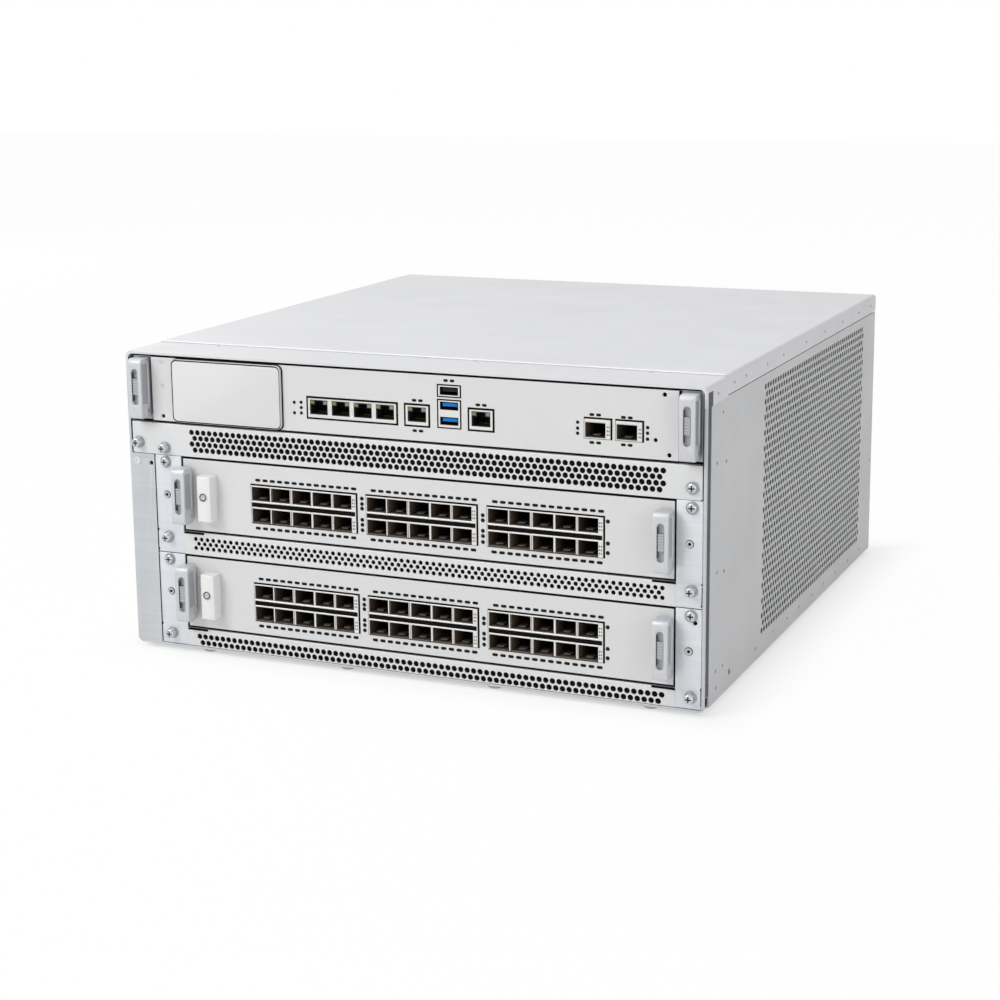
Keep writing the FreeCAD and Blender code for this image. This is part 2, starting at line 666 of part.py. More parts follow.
def midplane():
    pieces = [block("MidplaneBoard", ("-wall_inner + midplane_margin", "wall_inner - midplane_margin"),
                    ("midplane_y", "rear_board_y"), ("card_2_z - shelf_thick", "lip_z - lap_height"))]
    y = ("midplane_y - socket_length", "midplane_y")
    for level in ["shell_z"] + [f"{slot} + cage_lift" for _, slot in CARDS]:
        pieces += [connector("Socket", spot, y, level) for spot in CONNECTOR_SPOTS]
    node("midplane", grouped("Midplane", pieces))


def populated_board(label, name, x, y_start, top):
    """A circuit board with its rear connectors and a heat sink."""
    pieces = [block(name + "Board", x, (y_start, "plug_end_y - fit_gap"), (f"{top} - board_thick", top))]
    for spot in CONNECTOR_SPOTS:
        pieces.append(connector(name + "Plug", spot, ("plug_end_y - plug_length", "plug_end_y"), top))
    sink = ("plug_end_y - plug_length * 9", "plug_end_y - plug_length * 5")
    pieces.append(block(name + "Sink", ("-plug_width * 0.6", "plug_width * 0.6"), sink,
                        (top, f"{top} + sink_height")))
    node(label, grouped(name, pieces))


# Port shells


def shell(name, x, z, ends, width, pitch, count, bars, height, depth):
    """The plates of a block of ports: bars below, between and above its rows, walls, dividers and a back."""
    side, end = ends
    y = ("shell_y", f"shell_y + {depth} - shell_back")
    far = f"{x} + {side} + {count - 1} * {pitch} + {width}"
    whole = (x, f"{far} + {end}")
    walls = [(x, f"{x} + {side}"), (far, whole[1])]
    for k in range(1, count):
        start = f"{x} + {side} + {k} * {pitch}"
        walls.append((f"{start} - {pitch} + {width}", start))
    plates = []
    level = z
    for k, bar in enumerate(bars):
        top = f"{level} + {bar}"
        plates.append(block(name + "Bar", whole, y, (level, top)))
        level = top
        if k < len(bars) - 1:
            level = f"{top} + {height}"
            plates += [block(name + "Wall", wall, y, (top, level)) for wall in walls]
    plates.append(block(name + "Back", whole, (y[1], f"{y[1]} + shell_back"), (z, level)))
    return plates


def jack(name, left, count=1):
    return shell(name, left, "shell_z", ("jack_side", "jack_side"), "jack_width", "jack_pitch", count,
                 ("jack_base", "jack_roof"), "jack_height", "jack_depth")


def optic(name, x, z, count, bars=("cage_floor", "optic_roof")):
    return shell(name, x, z, ("cage_wall", "cage_end"), "port_width", "port_pitch", count, bars, "port_height",
                 "cage_depth")


def panel_window(name, x, total, z, height):
    """An opening in a panel round a shell."""
    return block(name, (f"{x} - fit_gap", f"{x} + {total} + fit_gap"), ("panel_y", "back_y"),
                 (f"{z} - fit_gap", f"{z} + {height} + fit_gap"))


def jack_total(count):
    return f"2 * jack_side + {count - 1} * jack_pitch + jack_width"


JACK_HEIGHT = "jack_base + jack_height + jack_roof"
USB_TOTAL = "2 * usb_side + usb_width"
USB_STACK = "usb_base + usb_step + usb_height + usb_roof"
USB_SINGLE_Z = f"shell_z + {USB_STACK} + usb_riser"
OPTIC_TOTAL = "cage_wall + port_width + cage_end"
OPTIC_HEIGHT = "cage_floor + port_height + optic_roof"
ROW_JACKS, ROW_PORTS, GROUPS = 4, 5, 3
SINGLE_JACKS = ("jack_one_x", "jack_two_x")
USB_BLOCKS = (("UsbStack", "shell_z", ("usb_base", "usb_step - usb_height", "usb_roof")),
              ("UsbSingle", USB_SINGLE_Z, ("usb_roof", "usb_roof")))
USB_CEILINGS = ("shell_z + usb_base + usb_height", "shell_z + usb_base + usb_step + usb_height",
                f"{USB_SINGLE_Z} + usb_roof + usb_height")
OPTICS = ("right_x - optic_right", "right_x - optic_right + optic_step")
# Small punched holes of the control panel, as places across and up
PANEL_HOLES = (("left_x + hole_left", "supervisor_z + hole_low"),
               ("right_x - hole_left", "lip_z - hole_low"),
               ("right_x - hole_right", "supervisor_z + hole_low"),
               ("right_x - hole_inner", "supervisor_z + hole_high"))


def supervisor_shells():
    jacks = jack("JackRow", "jack_row_x", ROW_JACKS)
    for left in SINGLE_JACKS:
        jacks += jack("JackSingle", left)
    node("rj45_shields", grouped("JackShields", jacks))
    shells, tongues = [], []
    x = "usb_x"
    for name, z, bars in USB_BLOCKS:
        shells += shell(name, x, z, ("usb_side", "usb_side"), "usb_width", "0", 1, bars, "usb_height",
                        "usb_depth")
    across = (f"{x} + usb_side + tongue_side", f"{x} + usb_side + usb_width - tongue_side")
    for ceiling in USB_CEILINGS:
        top = f"{ceiling} - tongue_drop"
        tongues.append(block("UsbTongue", across,
                             ("shell_y + tongue_inset", "shell_y + usb_depth - shell_back"),
                             (f"{top} - tongue_thick", top)))
    shells.append(block("UsbRiser", (x, f"{x} + {USB_TOTAL}"), ("back_y", "shell_y + usb_depth"),
                        (f"shell_z + {USB_STACK}", USB_SINGLE_Z)))
    node("usb_shells", grouped("UsbShells", shells))
    node("usb_tongues", grouped("UsbTongues", tongues))
    cages = []
    for left in OPTICS:
        cages += optic("Optic", left, "shell_z", 1)
    node("supervisor_cages", grouped("ControlCages", cages))


PANEL_SEAMS = (from_left("wing_left"), "jack_row_x - port_border",
               f"(jack_row_x + {jack_total(ROW_JACKS)} + jack_one_x) / 2",
               f"(jack_one_x + {jack_total(1)} + usb_x) / 2", f"(usb_x + {USB_TOTAL} + jack_two_x) / 2",
               f"jack_two_x + {jack_total(1)} + port_border", f"{OPTICS[0]} - port_border",
               f"({OPTICS[0]} + {OPTIC_TOTAL} + {OPTICS[1]}) / 2", "right_x - wing_right")


def supervisor_panel():
    """The module's front plate, in sections that meet edge to edge between its blocks of ports."""
    z = ("supervisor_z + slot_gap", "lip_z - slot_gap")
    jack_one, jack_two = (panel_window("JackWindow", left, jack_total(1), "shell_z", JACK_HEIGHT)
                          for left in SINGLE_JACKS)
    optic_one, optic_two = (panel_window("OpticWindow", left, OPTIC_TOTAL, "shell_z", OPTIC_HEIGHT)
                            for left in OPTICS)
    holes = [disc("PanelHole", HOLE_SIDES, "screw_hole", "panel_thick", (x, "panel_y", up), "y")
             for x, up in PANEL_HOLES]
    openings = [holes[:1],
                [panel_window("JackRowWindow", "jack_row_x", jack_total(ROW_JACKS), "shell_z", JACK_HEIGHT)],
                [jack_one],
                [panel_window("UsbStackWindow", "usb_x", USB_TOTAL, "shell_z", USB_STACK),
                 panel_window("UsbWindow", "usb_x", USB_TOTAL, USB_SINGLE_Z, "2 * usb_roof + usb_height")],
                [jack_two], [], [optic_one], [optic_two] + holes[1:]]
    plates = [block("ControlFace", x, ("panel_y", "back_y"), z) for x in zip(PANEL_SEAMS, PANEL_SEAMS[1:])]
    left, right = PANEL_SEAMS[0], PANEL_SEAMS[-1]
    for k, wing, turn in ((0, ("-module_half", left), (left, f"{left} + panel_thick")),
                          (-1, (right, "module_half"), (f"{right} - panel_thick", right))):
        plates[k] = fused("ControlEnd", [plates[k], block("LeverPlate", wing, ("wing_y", "wing_back_y"), z),
                                         block("LeverTurn", turn, ("back_y", "wing_back_y"), z)])
    sections = [cut("ControlSection", plate, tools) if tools else plate for plate, tools in zip(plates, openings)]
    node("supervisor_panel", grouped("ControlPanel", sections))


def blank_cover():
    """The raised plate over the module's spare bay, with rounded corners."""
    z = "supervisor_z + cover_lift"
    plate = block("BlankPlate", (from_left("cover_left"), from_left("cover_left + cover_width")),
                  ("panel_y - cover_thick", "panel_y"), (z, f"{z} + cover_height"))
    node("blank_cover", rounded("BlankCover", plate, size("cover_radius"), "y"))


# Levers, their lugs and pins, and their latches


LUG_TAPER = 0.55


def plane_of(body, role):
    return next(item for item in body.Origin.OriginFeatures if item.Role == role)


def sketch_on(body, name, role, offset):
    """A sketch on one of the body's origin planes, moved along its normal."""
    sketch = body.newObject("Sketcher::SketchObject", name)
    sketch.AttachmentSupport = [(plane_of(body, role), "")]
    sketch.MapMode = "FlatFace"
    bind(sketch, "AttachmentOffset.Base.z", offset)
    return sketch


def polygon(sketch, points):
    """A closed outline whose corners are each held by two dimensions from the sketch's origin."""
    values = [tuple(evaluate(text) for text in point) for point in points]
    count = len(points)
    for k in range(count):
        a, b = values[k], values[(k + 1) % count]
        sketch.addGeometry(Part.LineSegment(FreeCAD.Vector(*a, 0), FreeCAD.Vector(*b, 0)))
    for k in range(count):
        sketch.addConstraint(Sketcher.Constraint("Coincident", k, 2, (k + 1) % count, 1))
        for kind, text, value in zip(("DistanceX", "DistanceY"), points[k], values[k]):
            index = sketch.addConstraint(Sketcher.Constraint(kind, -1, 1, k, 1, value))
            sketch.setExpression(f"Constraints[{index}]", on_sheet(text))


def evaluate(text):
    """The present value of an expression of dimensions."""
    return float(sheet.evalExpression(on_sheet(text)))


def clipped_slot(sketch, low, high, width):
    """An upright slot with clipped corners."""
    side, inner, clip = f"{width} / 2", f"{width} * 0.2", f"{width} * 0.3"
    foot, head = f"{low} + {clip}", f"{high} - {clip}"
    polygon(sketch, [(f"-({side})", foot), (f"-({inner})", low), (inner, low), (side, foot),
                     (side, head), (inner, high), (f"-({inner})", high), (f"-({side})", head)])


def feature(body, kind, name, sketch, length, reverse=False):
    item = body.newObject("PartDesign::" + kind, name)
    item.Profile = sketch
    bind(item, "Length", length)
    item.Reversed = reverse
    body.Tip = item
    doc.recompute()
    return item


def lever(label, x, y, z, rise):
    """A cast lever: a channel open at the back, with a thumb slot, sunk side panels and its pin."""
    body = doc.addObject("PartDesign::Body", "Lever")
    side = sketch_on(body, "LeverSide", "YZ_Plane", "-lever_width / 2")
    polygon(side, [("-lever_front", "-lever_foot"), ("lever_back - lever_heel", "-lever_foot"),
                   ("lever_back", "lever_heel - lever_foot"), ("lever_back", rise),
                   ("lever_crown - lever_front", rise), ("-lever_front", f"{rise} - lever_crown / 2")])
    pad = feature(body, "Pad", "LeverPad", side, "lever_width")
    face = [f"Edge{i}" for i, edge in enumerate(pad.Shape.Edges, start=1)
            if max(v.Point.y for v in edge.Vertexes) < size("lever_crown") - size("lever_front") + 1e-6
            and not all(abs(v.Point.z + size("lever_foot")) < 1e-6 for v in edge.Vertexes)]
    chamfer = body.newObject("PartDesign::Chamfer", "LeverChamfer")
    chamfer.Base = (pad, face)
    bind(chamfer, "Size", "lever_edge")
    body.Tip = chamfer
    doc.recompute()
    hollow = sketch_on(body, "LeverHollow", "XZ_Plane", "-lever_back")
    inner = "lever_width / 2 - lever_cheek"
    polygon(hollow, [(f"-({inner})", "-lever_foot * 2"), (inner, "-lever_foot * 2"),
                     (inner, f"{rise} - lever_cap"), (f"-({inner})", f"{rise} - lever_cap")])
    feature(body, "Pocket", "LeverChannel", hollow, "lever_front + lever_back - lever_wall", True)
    slot = sketch_on(body, "LeverSlot", "XZ_Plane", "lever_front")
    middle = f"{rise} - slot_drop"
    clipped_slot(slot, f"{middle} - slot_length / 2", f"{middle} + slot_length / 2", "slot_width")
    feature(body, "Pocket", "LeverSlotCut", slot, "lever_wall + latch_play")
    for offset, reverse in (("lever_width / 2", False), ("-lever_width / 2", True)):
        panel = sketch_on(body, "LeverPanel", "YZ_Plane", offset)
        low, high = "lug_radius + cheek_border", f"{rise} - lever_crown"
        front, back = "cheek_border - lever_front", "lever_back - cheek_border"
        polygon(panel, [(front, low), (back, low), (back, high), (front, high)])
        feature(body, "Pocket", "LeverPanelCut", panel, "cheek_recess", reverse)
    pin = sketch_on(body, "LeverPin", "YZ_Plane", f"-({inner})")
    pin.addGeometry(Part.Circle(FreeCAD.Vector(0, 0, 0), FreeCAD.Vector(0, 0, 1), size("pin_radius")))
    pin.addConstraint(Sketcher.Constraint("Coincident", 0, 3, -1, 1))
    index = pin.addConstraint(Sketcher.Constraint("Radius", 0, size("pin_radius")))
    pin.setExpression(f"Constraints[{index}]", on_sheet("pin_radius"))
    feature(body, "Pad", "LeverPinPad", pin, f"2 * ({inner})")
    for letter, text in zip("xyz", (x, y, z)):
        bind(body, f"Placement.Base.{letter}", text)
    node(label, body)


def latch(label, x, y, z, rise):
    """The thumb slide: a thumb piece in the slot on a plate behind the lever's front wall."""
    face = f"{y} - lever_front + thumb_sunk"
    seat = f"{y} - lever_front + lever_wall + latch_play"
    middle = f"{z} + {rise} - slot_drop"
    pieces = [
        block("Thumb", (f"{x} - thumb_width / 2", f"{x} + thumb_width / 2"), (face, seat),
              (f"{middle} - thumb_height / 2", f"{middle} + thumb_height / 2")),
        block("LatchPlate", (f"{x} - latch_width / 2", f"{x} + latch_width / 2"),
              (seat, f"{seat} + latch_plate"),
              (f"{middle} - latch_height / 2", f"{middle} + latch_height / 2")),
    ]
    node(label, fused("Latch", pieces))


def pivots(label, spots, y, z, plate):
    """A lug on the panel for each lever, with the bore for its pin."""
    pieces = []
    for x in spots:
        low = f"{x} - lug_width / 2"
        arm = block("LugArm", (low, f"{low} + lug_width"), (f"{y} - lug_radius", plate),
                    (f"{z} - lug_radius", f"{z} + lug_radius"))
        doc.recompute()
        nose = arm.Shape.BoundBox.YMin
        tip = rounded("LugTip", arm, size("lug_radius") * LUG_TAPER, "x",
                      lambda point: abs(point.y - nose) < 1e-6, "Part::Chamfer")
        bore = rod("LugBore", "pin_radius + pin_play", "lug_width", (low, y, z), "x")
        pieces.append(cut("Lug", tip, [bore]))
    node(label, grouped("Pivots", pieces))


def lever_set(module, spots, y, z, plate, rise):
    pivots(f"{module}_pivots", spots, y, z, plate)
    for side, x in zip(("left", "right"), spots):
        lever(f"{module}_lever_{side}", x, y, z, rise)
        latch(f"{module}_latch_{side}", x, y, z, rise)


# Modules


def supervisor():
    supervisor_panel()
    edge = "module_half - board_side"
    populated_board("supervisor_board", "ControlBoard", (f"-({edge})", edge), "wing_back_y", "shell_z")
    blank_cover()
    supervisor_shells()
    lever_set("supervisor", (from_left("control_lever_left"), "right_x - control_lever_right"),
              "pivot_y + wing_setback", "supervisor_z + supervisor_lift + lever_foot", "wing_y", "control_rise")


def line_card(module, slot):
    x = ("cage_left_x + slot_gap", "cage_right_x - slot_gap")
    plate = block("CardFace", x, ("panel_y", "back_y"),
                  (f"{slot} + slot_gap", f"{slot} + card_slot - slot_gap"))
    low = f"{slot} + cage_lift"
    cages, windows = [], []
    for k in range(GROUPS):
        left = f"group_x + {k} * cage_step"
        cages += optic("Ports", left, low, ROW_PORTS, ("cage_floor", "cage_middle", "cage_roof"))
        windows.append(panel_window("CageWindow", left, "group_width", low,
                                    "cage_floor + 2 * port_height + cage_middle + cage_roof"))
    node(f"{module}_panel", cut("CardPanel", plate, windows))
    node(f"{module}_cages", grouped("CardCages", cages))
    populated_board(f"{module}_board", "CardBoard", ("cage_left_x + board_side", "cage_right_x - board_side"),
                    "back_y", low)
    screw_block(module, slot)
    lever_set(module, (from_left("card_lever_left"), "right_x - card_lever_right"), "pivot_y",
              f"{slot} + card_lift + lever_foot", "panel_y", "lever_rise")


def screw_block(module, slot):
    """The white moulded block beside the left lever, with the card's captive screw."""
    z = f"{slot} + block_lift"
    form = block("BlockForm", (from_left("block_left"), from_left("block_left + block_width")),
                 ("panel_y - block_depth", "panel_y"), (z, f"{z} + block_height"))
    doc.recompute()
    front = form.Shape.BoundBox.YMin
    soft = rounded("ScrewBlock", form, size("block_edge"), "xz", lambda point: abs(point.y - front) < 1e-6,
                   "Part::Chamfer")
    node(f"{module}_screw_block", soft)
    centre = (from_left("block_left + block_width / 2"), "panel_y - block_depth - block_head",
              f"{z} + block_height / 2 + block_screw_rise")
    head = disc("BlockScrew", HEAD_SIDES, "block_screw", "block_head", centre, "y")
    doc.recompute()
    node(f"{module}_block_screw", head)


# Fasteners and feet

# Screws and rivets on the front, as places across and up; each strip's screws stand tall, a jamb's lie low
COLUMN_X, LEFT_X, RIGHT_X = "left_x + screw_column", "left_x + screw_left", "right_x - screw_right"
STRIP_SCREWS = ((COLUMN_X, "upper_z + screw_rise"), (LEFT_X, "upper_z + screw_inner"),
                (LEFT_X, "card_1_z - screw_drop"), (RIGHT_X, "card_1_z - screw_drop"),
                (LEFT_X, "card_2_z - screw_drop"), (RIGHT_X, "card_2_z - screw_drop"))
JAMB_SCREWS = ((RIGHT_X, "upper_z + screw_rise"),
               (LEFT_X, "upper_z - jamb_screw"), (RIGHT_X, "upper_z - jamb_screw"),
               (LEFT_X, "middle_z - jamb_screw"), (RIGHT_X, "middle_z - jamb_screw"))
RIVETS = tuple((x, f"{slot} + rivet_rise") for x in (LEFT_X, "right_x - rivet_right") for _, slot in CARDS)
SEAM_SCREWS = ("-seam_outer", "0", "seam_inner", "seam_outer")


def front_screw(x, up, head):
    washer = disc("Washer", HEAD_SIDES, "washer_radius", "washer_thick", (x, "strip_y - washer_thick", up), "y")
    cap = disc("Head", HEAD_SIDES, "head_radius", head, (x, f"strip_y - washer_thick - {head}", up), "y")
    return fused("FrontScrew", [washer, cap])


def fasteners():
    screws = [front_screw(x, up, "tall_head") for x, up in STRIP_SCREWS]
    screws += [front_screw(x, up, "low_head") for x, up in JAMB_SCREWS]
    node("front_screws", grouped("FrontScrews", screws))
    rivets = [disc("Rivet", HEAD_SIDES, "rivet_radius", "rivet_proud", (x, "strip_y - rivet_proud", up), "y")
              for x, up in RIVETS]
    node("rivets", grouped("Rivets", rivets))
    seam_y = behind("hood_depth - seam_offset")
    seams = [disc("SeamScrew", HEAD_SIDES, "seam_radius", "seam_proud", (x, seam_y, "hood_z"), "z")
             for x in SEAM_SCREWS]
    node("cover_screws", grouped("CoverScrews", seams))


FEET = 4


def feet():
    pieces = []
    for y in (behind("foot_setback"), "rear_y - foot_setback - sheet_thick"):
        for k in range(FEET):
            at = (from_left(f"foot_left + {k} * foot_step"), y, "0")
            foot = disc("Foot", FOOT_SIDES, "foot_radius", "foot_height", at, "z")
            pieces.append(foot)
    node("feet", grouped("Feet", pieces))


# Rear modules


def guard_outlines():
    """Two broken rings of slots in front of a fan, eight-sided."""
    outlines = []
    bar, middle, edge = size("fan_strut"), size("fan_hub"), size("fan_bore")
    step = (edge - middle) / 2
    for ring in range(2):
        inner, outer = middle + ring * step + bar / 2, middle + (ring + 1) * step - bar / 2
        for quarter in range(4):
            turns = [math.radians(90 * quarter + a) for a in (0, 45, 90)]
            shift = math.radians(90 * quarter + 45)
            move = (bar / math.sqrt(2) * math.cos(shift), bar / math.sqrt(2) * math.sin(shift))
            ring_out = [(outer * math.cos(t) + move[0], outer * math.sin(t) + move[1]) for t in turns]
            ring_in = [(inner * math.cos(t) + move[0], inner * math.sin(t) + move[1]) for t in reversed(turns)]
            outlines.append(ring_out + ring_in)
    return outlines


FANS = ("-fan_pitch", "0", "fan_pitch")


def fan_tray():
    """The tray plate with its guards, a floor, three fan frames with motor plates, and thumb screws."""
    half = "tray_half + tray_lip"
    z = ("tray_z - tray_lip", "tray_top_z + tray_lip")
    plate = block("TrayPlate", (f"-({half})", half), ("rear_y", "rear_y + sheet_thick"), z)
    slots = []
    for k, spot in enumerate(FANS):
        centre = (evaluate(spot), size("fan_z"))
        for n, outline in enumerate(guard_outlines()):
            slots.append(punches(f"Guard{k}{n}", [centre], outline, "y", size("rear_y"), size("sheet_thick")))
    pieces = [cut("TrayGuards", plate, slots)]
    pieces.append(block("TrayFloor", ("-fan_pitch - fan_size / 2", "fan_pitch + fan_size / 2"),
                        ("fan_y", "rear_y"), ("tray_z", "tray_z + sheet_thick")))
    for spot in FANS:
        pieces.append(fan_frame(spot))
    for sign in ("-", ""):
        for up in (f"{z[0]} + tray_screw * 1.5", f"{z[1]} - tray_screw * 1.5"):
            pieces.append(disc("TrayScrew", HEAD_SIDES, "tray_screw", "tray_knob",
                               (f"{sign}(tray_half - tray_screw / 2)", "rear_y + sheet_thick", up), "y"))
    node("fan_tray", grouped("FanTray", pieces))


def fan_frame(spot):
    half = "fan_size / 2"
    x = (f"{spot} - {half}", f"{spot} + {half}")
    z = (f"fan_z - {half}", f"fan_z + {half}")
    case = cut("FanCase", block("FanBlock", x, ("fan_y", "rear_y"), z),
               [disc("FanDuct", DUCT_SIDES, "fan_bore", "fan_depth", (spot, "fan_y", "fan_z"), "y")])
    motor = disc("Motor", HUB_SIDES, "fan_hub", "motor_thick", (spot, "fan_y", "fan_z"), "y")
    y = ("fan_y", "fan_y + motor_thick")
    bars = [block("StrutAcross", x, y, ("fan_z - fan_strut / 2", "fan_z + fan_strut / 2")),
            block("StrutUp", (f"{spot} - fan_strut / 2", f"{spot} + fan_strut / 2"), y, z)]
    bearing = rod("Bearing", "shaft_radius + shaft_play", "motor_thick", (spot, "fan_y", "fan_z"), "y")
    return cut("FanFrame", fused("FanForm", [case, motor] + bars), [bearing])


BLADES = 5


def fan_rotor(number, spot):
    """A hub with flat slanted blades and a shaft into the motor plate."""
    axis, origin = FreeCAD.Vector(0, 1, 0), FreeCAD.Vector(0, 0, 0)
    depth, hub, chord = size("rotor_depth"), size("fan_hub"), size("blade_chord")
    start = size("motor_thick") + size("rotor_gap")
    turns = [2 * math.pi * k / HUB_SIDES for k in range(HUB_SIDES)]
    ring = [FreeCAD.Vector(hub * math.cos(turn), start, hub * math.sin(turn)) for turn in turns]
    shape = Part.Face(Part.makePolygon(ring + ring[:1])).extrude(axis * depth)
    shaft = Part.makeCylinder(size("shaft_radius"), start, origin, axis)
    inner = hub * math.cos(math.pi / HUB_SIDES) * 0.8
    outer = math.sqrt(size("fan_tip") ** 2 - (chord / 2) ** 2)
    thick = size("blade_thick")
    blade = Part.makeBox(chord, thick, outer - inner, FreeCAD.Vector(-chord / 2, -thick / 2, inner))
    blade.rotate(origin, FreeCAD.Vector(0, 0, 1), size("blade_turn"))
    blade.translate(axis * (start + depth / 2))
    blades = []
    for k in range(BLADES):
        turned = blade.copy()
        turned.rotate(origin, axis, 360.0 * k / BLADES)
        blades.append(turned)
    rotor = doc.addObject("Part::Feature", "Rotor")
    rotor.Shape = shape.multiFuse([shaft] + blades).removeSplitter()
    rotor.Placement.Base = FreeCAD.Vector(evaluate(spot), size("fan_y"), size("fan_z"))
    node(f"fan_rotor_{number}", rotor)


def power_supply(number, middle):
    """A closed supply with an inlet, a handle and a plug to the midplane, and its release tab."""
    half = "supply_width / 2"
    top = "supply_z + supply_height"
    case = block("SupplyCase", (f"{middle} - {half}", f"{middle} + {half}"),
                 (behind("supply_front"), "supply_face_y"), ("supply_z", top))
    inlet_x = f"{middle} - inlet_offset"
    inlet_z = "supply_z + supply_height / 2"
    pocket = block("Inlet", (f"{inlet_x} - inlet_width / 2", f"{inlet_x} + inlet_width / 2"),
                   ("supply_face_y - inlet_depth", "supply_face_y"),
                   (f"{inlet_z} - inlet_height / 2", f"{inlet_z} + inlet_height / 2"))
    plug = block("SupplyPlug", (f"{middle} - plug_width / 2", f"{middle} + plug_width / 2"),
                 ("rear_board_y + fit_gap", behind("supply_front")),
                 ("supply_z + plug_height", "supply_z + 2 * plug_height"))
    grip = f"{middle} + inlet_width / 4"
    bar_x = (f"{grip} - handle_width / 2", f"{grip} + handle_width / 2")
    low, high = f"{inlet_z} - handle_height / 2", f"{inlet_z} + handle_height / 2"
    out = ("supply_face_y", "rear_y + rear_reach")
    pieces = [cut("SupplyBody", case, [pocket]), plug,
              block("HandleLow", bar_x, (out[0], f"{out[1]} - handle_bar"), (low, f"{low} + handle_bar")),
              block("HandleHigh", bar_x, (out[0], f"{out[1]} - handle_bar"), (f"{high} - handle_bar", high)),
              block("HandleBar", bar_x, (f"{out[1]} - handle_bar", out[1]), (low, high))]
    node(f"power_supply_{number}", grouped("PowerSupply", pieces))
    tab_x = f"{middle} + tab_offset"
    tab = block("ReleaseTab", (tab_x, f"{tab_x} + tab_width"),
                ("supply_face_y + fit_gap", "supply_face_y + fit_gap + tab_depth"),
                (f"{inlet_z} - tab_height / 2", f"{inlet_z} + tab_height / 2"))
    doc.recompute()
    node(f"release_tab_{number}", rounded("TabChamfered", tab, size("tab_edge"), "z", None, "Part::Chamfer"))


def build():
    base_pan()
    side_wall("left", -1)
    side_wall("right", 1)
    folded_cover("top_cover", "Cover", "body_width / 2 - cover_inset", (behind("hood_depth"), "rear_y"), "cover_z",
                 "cover_flange")
    folded_cover("front_hood", "Hood", "body_width / 2", ("front_y + bezel_thick", behind("hood_depth")), "hood_z",
                 "hood_flange")
    front_bezel()
    rear_panel()
    intake("upper_intake", "UpperIntake", ("left_x + lip_width + plate_gap", "right_x - lip_width - plate_gap"),
           "upper_z + plate_gap", "supervisor_z - plate_gap", "strip_radius")
    for label, low, high in (("middle_intake", "middle_z", "card_1_z"), ("lower_intake", "lower_z", "card_2_z")):
        intake(label, label.title().replace("_", ""), ("cage_left_x", "cage_right_x"),
               f"{low} + plate_gap", f"{high} - plate_gap")
    ear_plates()
    card_cage()
    card_guides()
    midplane()
    supervisor()
    for module, slot in CARDS:
        line_card(module, slot)
    fasteners()
    feet()
    fan_tray()
    for number, spot in enumerate(FANS, start=1):
        fan_rotor(number, spot)
    power_supply(1, "-supply_middle")
    power_supply(2, "supply_middle")
    doc.recompute()


def check_and_write():
    for item in doc.Objects:
        if "Invalid" in item.State or "Error" in item.State:
            raise RuntimeError(f"{item.Name} ({item.Label}) failed: {item.State}")
    for item in NODES:
        if item.Shape.isNull() or not item.Shape.isValid() or not item.Shape.Solids:
            raise RuntimeError(f"{item.Label} has no valid shape")
    os.makedirs("parts", exist_ok=True)
    for item in NODES:
        item.Shape.exportStep(f"parts/{item.Label}.step")
    print(len(NODES), "sub-parts written")


build()
check_and_write()
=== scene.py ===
import bpy
import bmesh
import json
import math
from mathutils import Matrix, Vector


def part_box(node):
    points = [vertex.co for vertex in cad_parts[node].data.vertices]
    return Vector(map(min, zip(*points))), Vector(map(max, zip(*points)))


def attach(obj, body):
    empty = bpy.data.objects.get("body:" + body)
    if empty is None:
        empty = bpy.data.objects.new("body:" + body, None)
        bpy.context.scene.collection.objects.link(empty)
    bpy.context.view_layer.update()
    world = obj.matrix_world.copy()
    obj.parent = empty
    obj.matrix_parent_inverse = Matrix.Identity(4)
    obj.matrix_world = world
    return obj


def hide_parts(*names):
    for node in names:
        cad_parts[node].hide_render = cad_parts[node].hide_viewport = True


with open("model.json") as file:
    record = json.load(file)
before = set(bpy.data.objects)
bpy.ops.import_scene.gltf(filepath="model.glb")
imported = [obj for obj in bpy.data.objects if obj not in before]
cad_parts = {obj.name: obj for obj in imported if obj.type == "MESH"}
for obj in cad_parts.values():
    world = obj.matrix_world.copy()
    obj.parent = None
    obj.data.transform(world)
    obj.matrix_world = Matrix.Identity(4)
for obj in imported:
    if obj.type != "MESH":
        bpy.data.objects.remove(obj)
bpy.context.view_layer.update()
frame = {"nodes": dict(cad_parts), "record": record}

# A five-unit rack router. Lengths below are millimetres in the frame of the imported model:
# X across the front, Y from the front to the rear, Z up.

NODES = frame["nodes"]
MM = 0.001
WELD = 0.01 * MM
X, Y, Z = 0, 1, 2
LEFT_EDGE, FRONT, PAN = -221.0, -236.5, 3.5


def mm(values):
    return tuple(value * MM for value in values)


def reach(node):
    """Lowest and highest corner of a node, in millimetres."""
    low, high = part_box(node)
    return Vector(low) / MM, Vector(high) / MM


def front_places(spots, face):
    """Places on the front, from distances across from the left edge and up from the pan."""
    return [(LEFT_EDGE + x, face, PAN + z) for x, z in spots]


# Bench: one piece in hand, faces and edges picked by place, and the usual modelling moves


def alone(piece):
    bpy.ops.object.select_all(action="DESELECT")
    piece.select_set(True)
    bpy.context.view_layer.objects.active = piece


def edit(piece):
    alone(piece)
    bpy.ops.object.mode_set(mode="EDIT")


def shut():
    bpy.ops.object.mode_set(mode="OBJECT")


def pick(piece, kind, test):
    """Opens a piece and selects the faces, edges or points that pass the test."""
    if bpy.context.mode != "EDIT_MESH":
        edit(piece)
    bpy.ops.mesh.select_mode(type=kind)
    bpy.ops.mesh.select_all(action="DESELECT")
    mesh = bmesh.from_edit_mesh(piece.data)
    for part in {"FACE": mesh.faces, "EDGE": mesh.edges, "VERT": mesh.verts}[kind]:
        if test(part):
            part.select_set(True)
    mesh.select_flush_mode()
    bmesh.update_edit_mesh(piece.data)


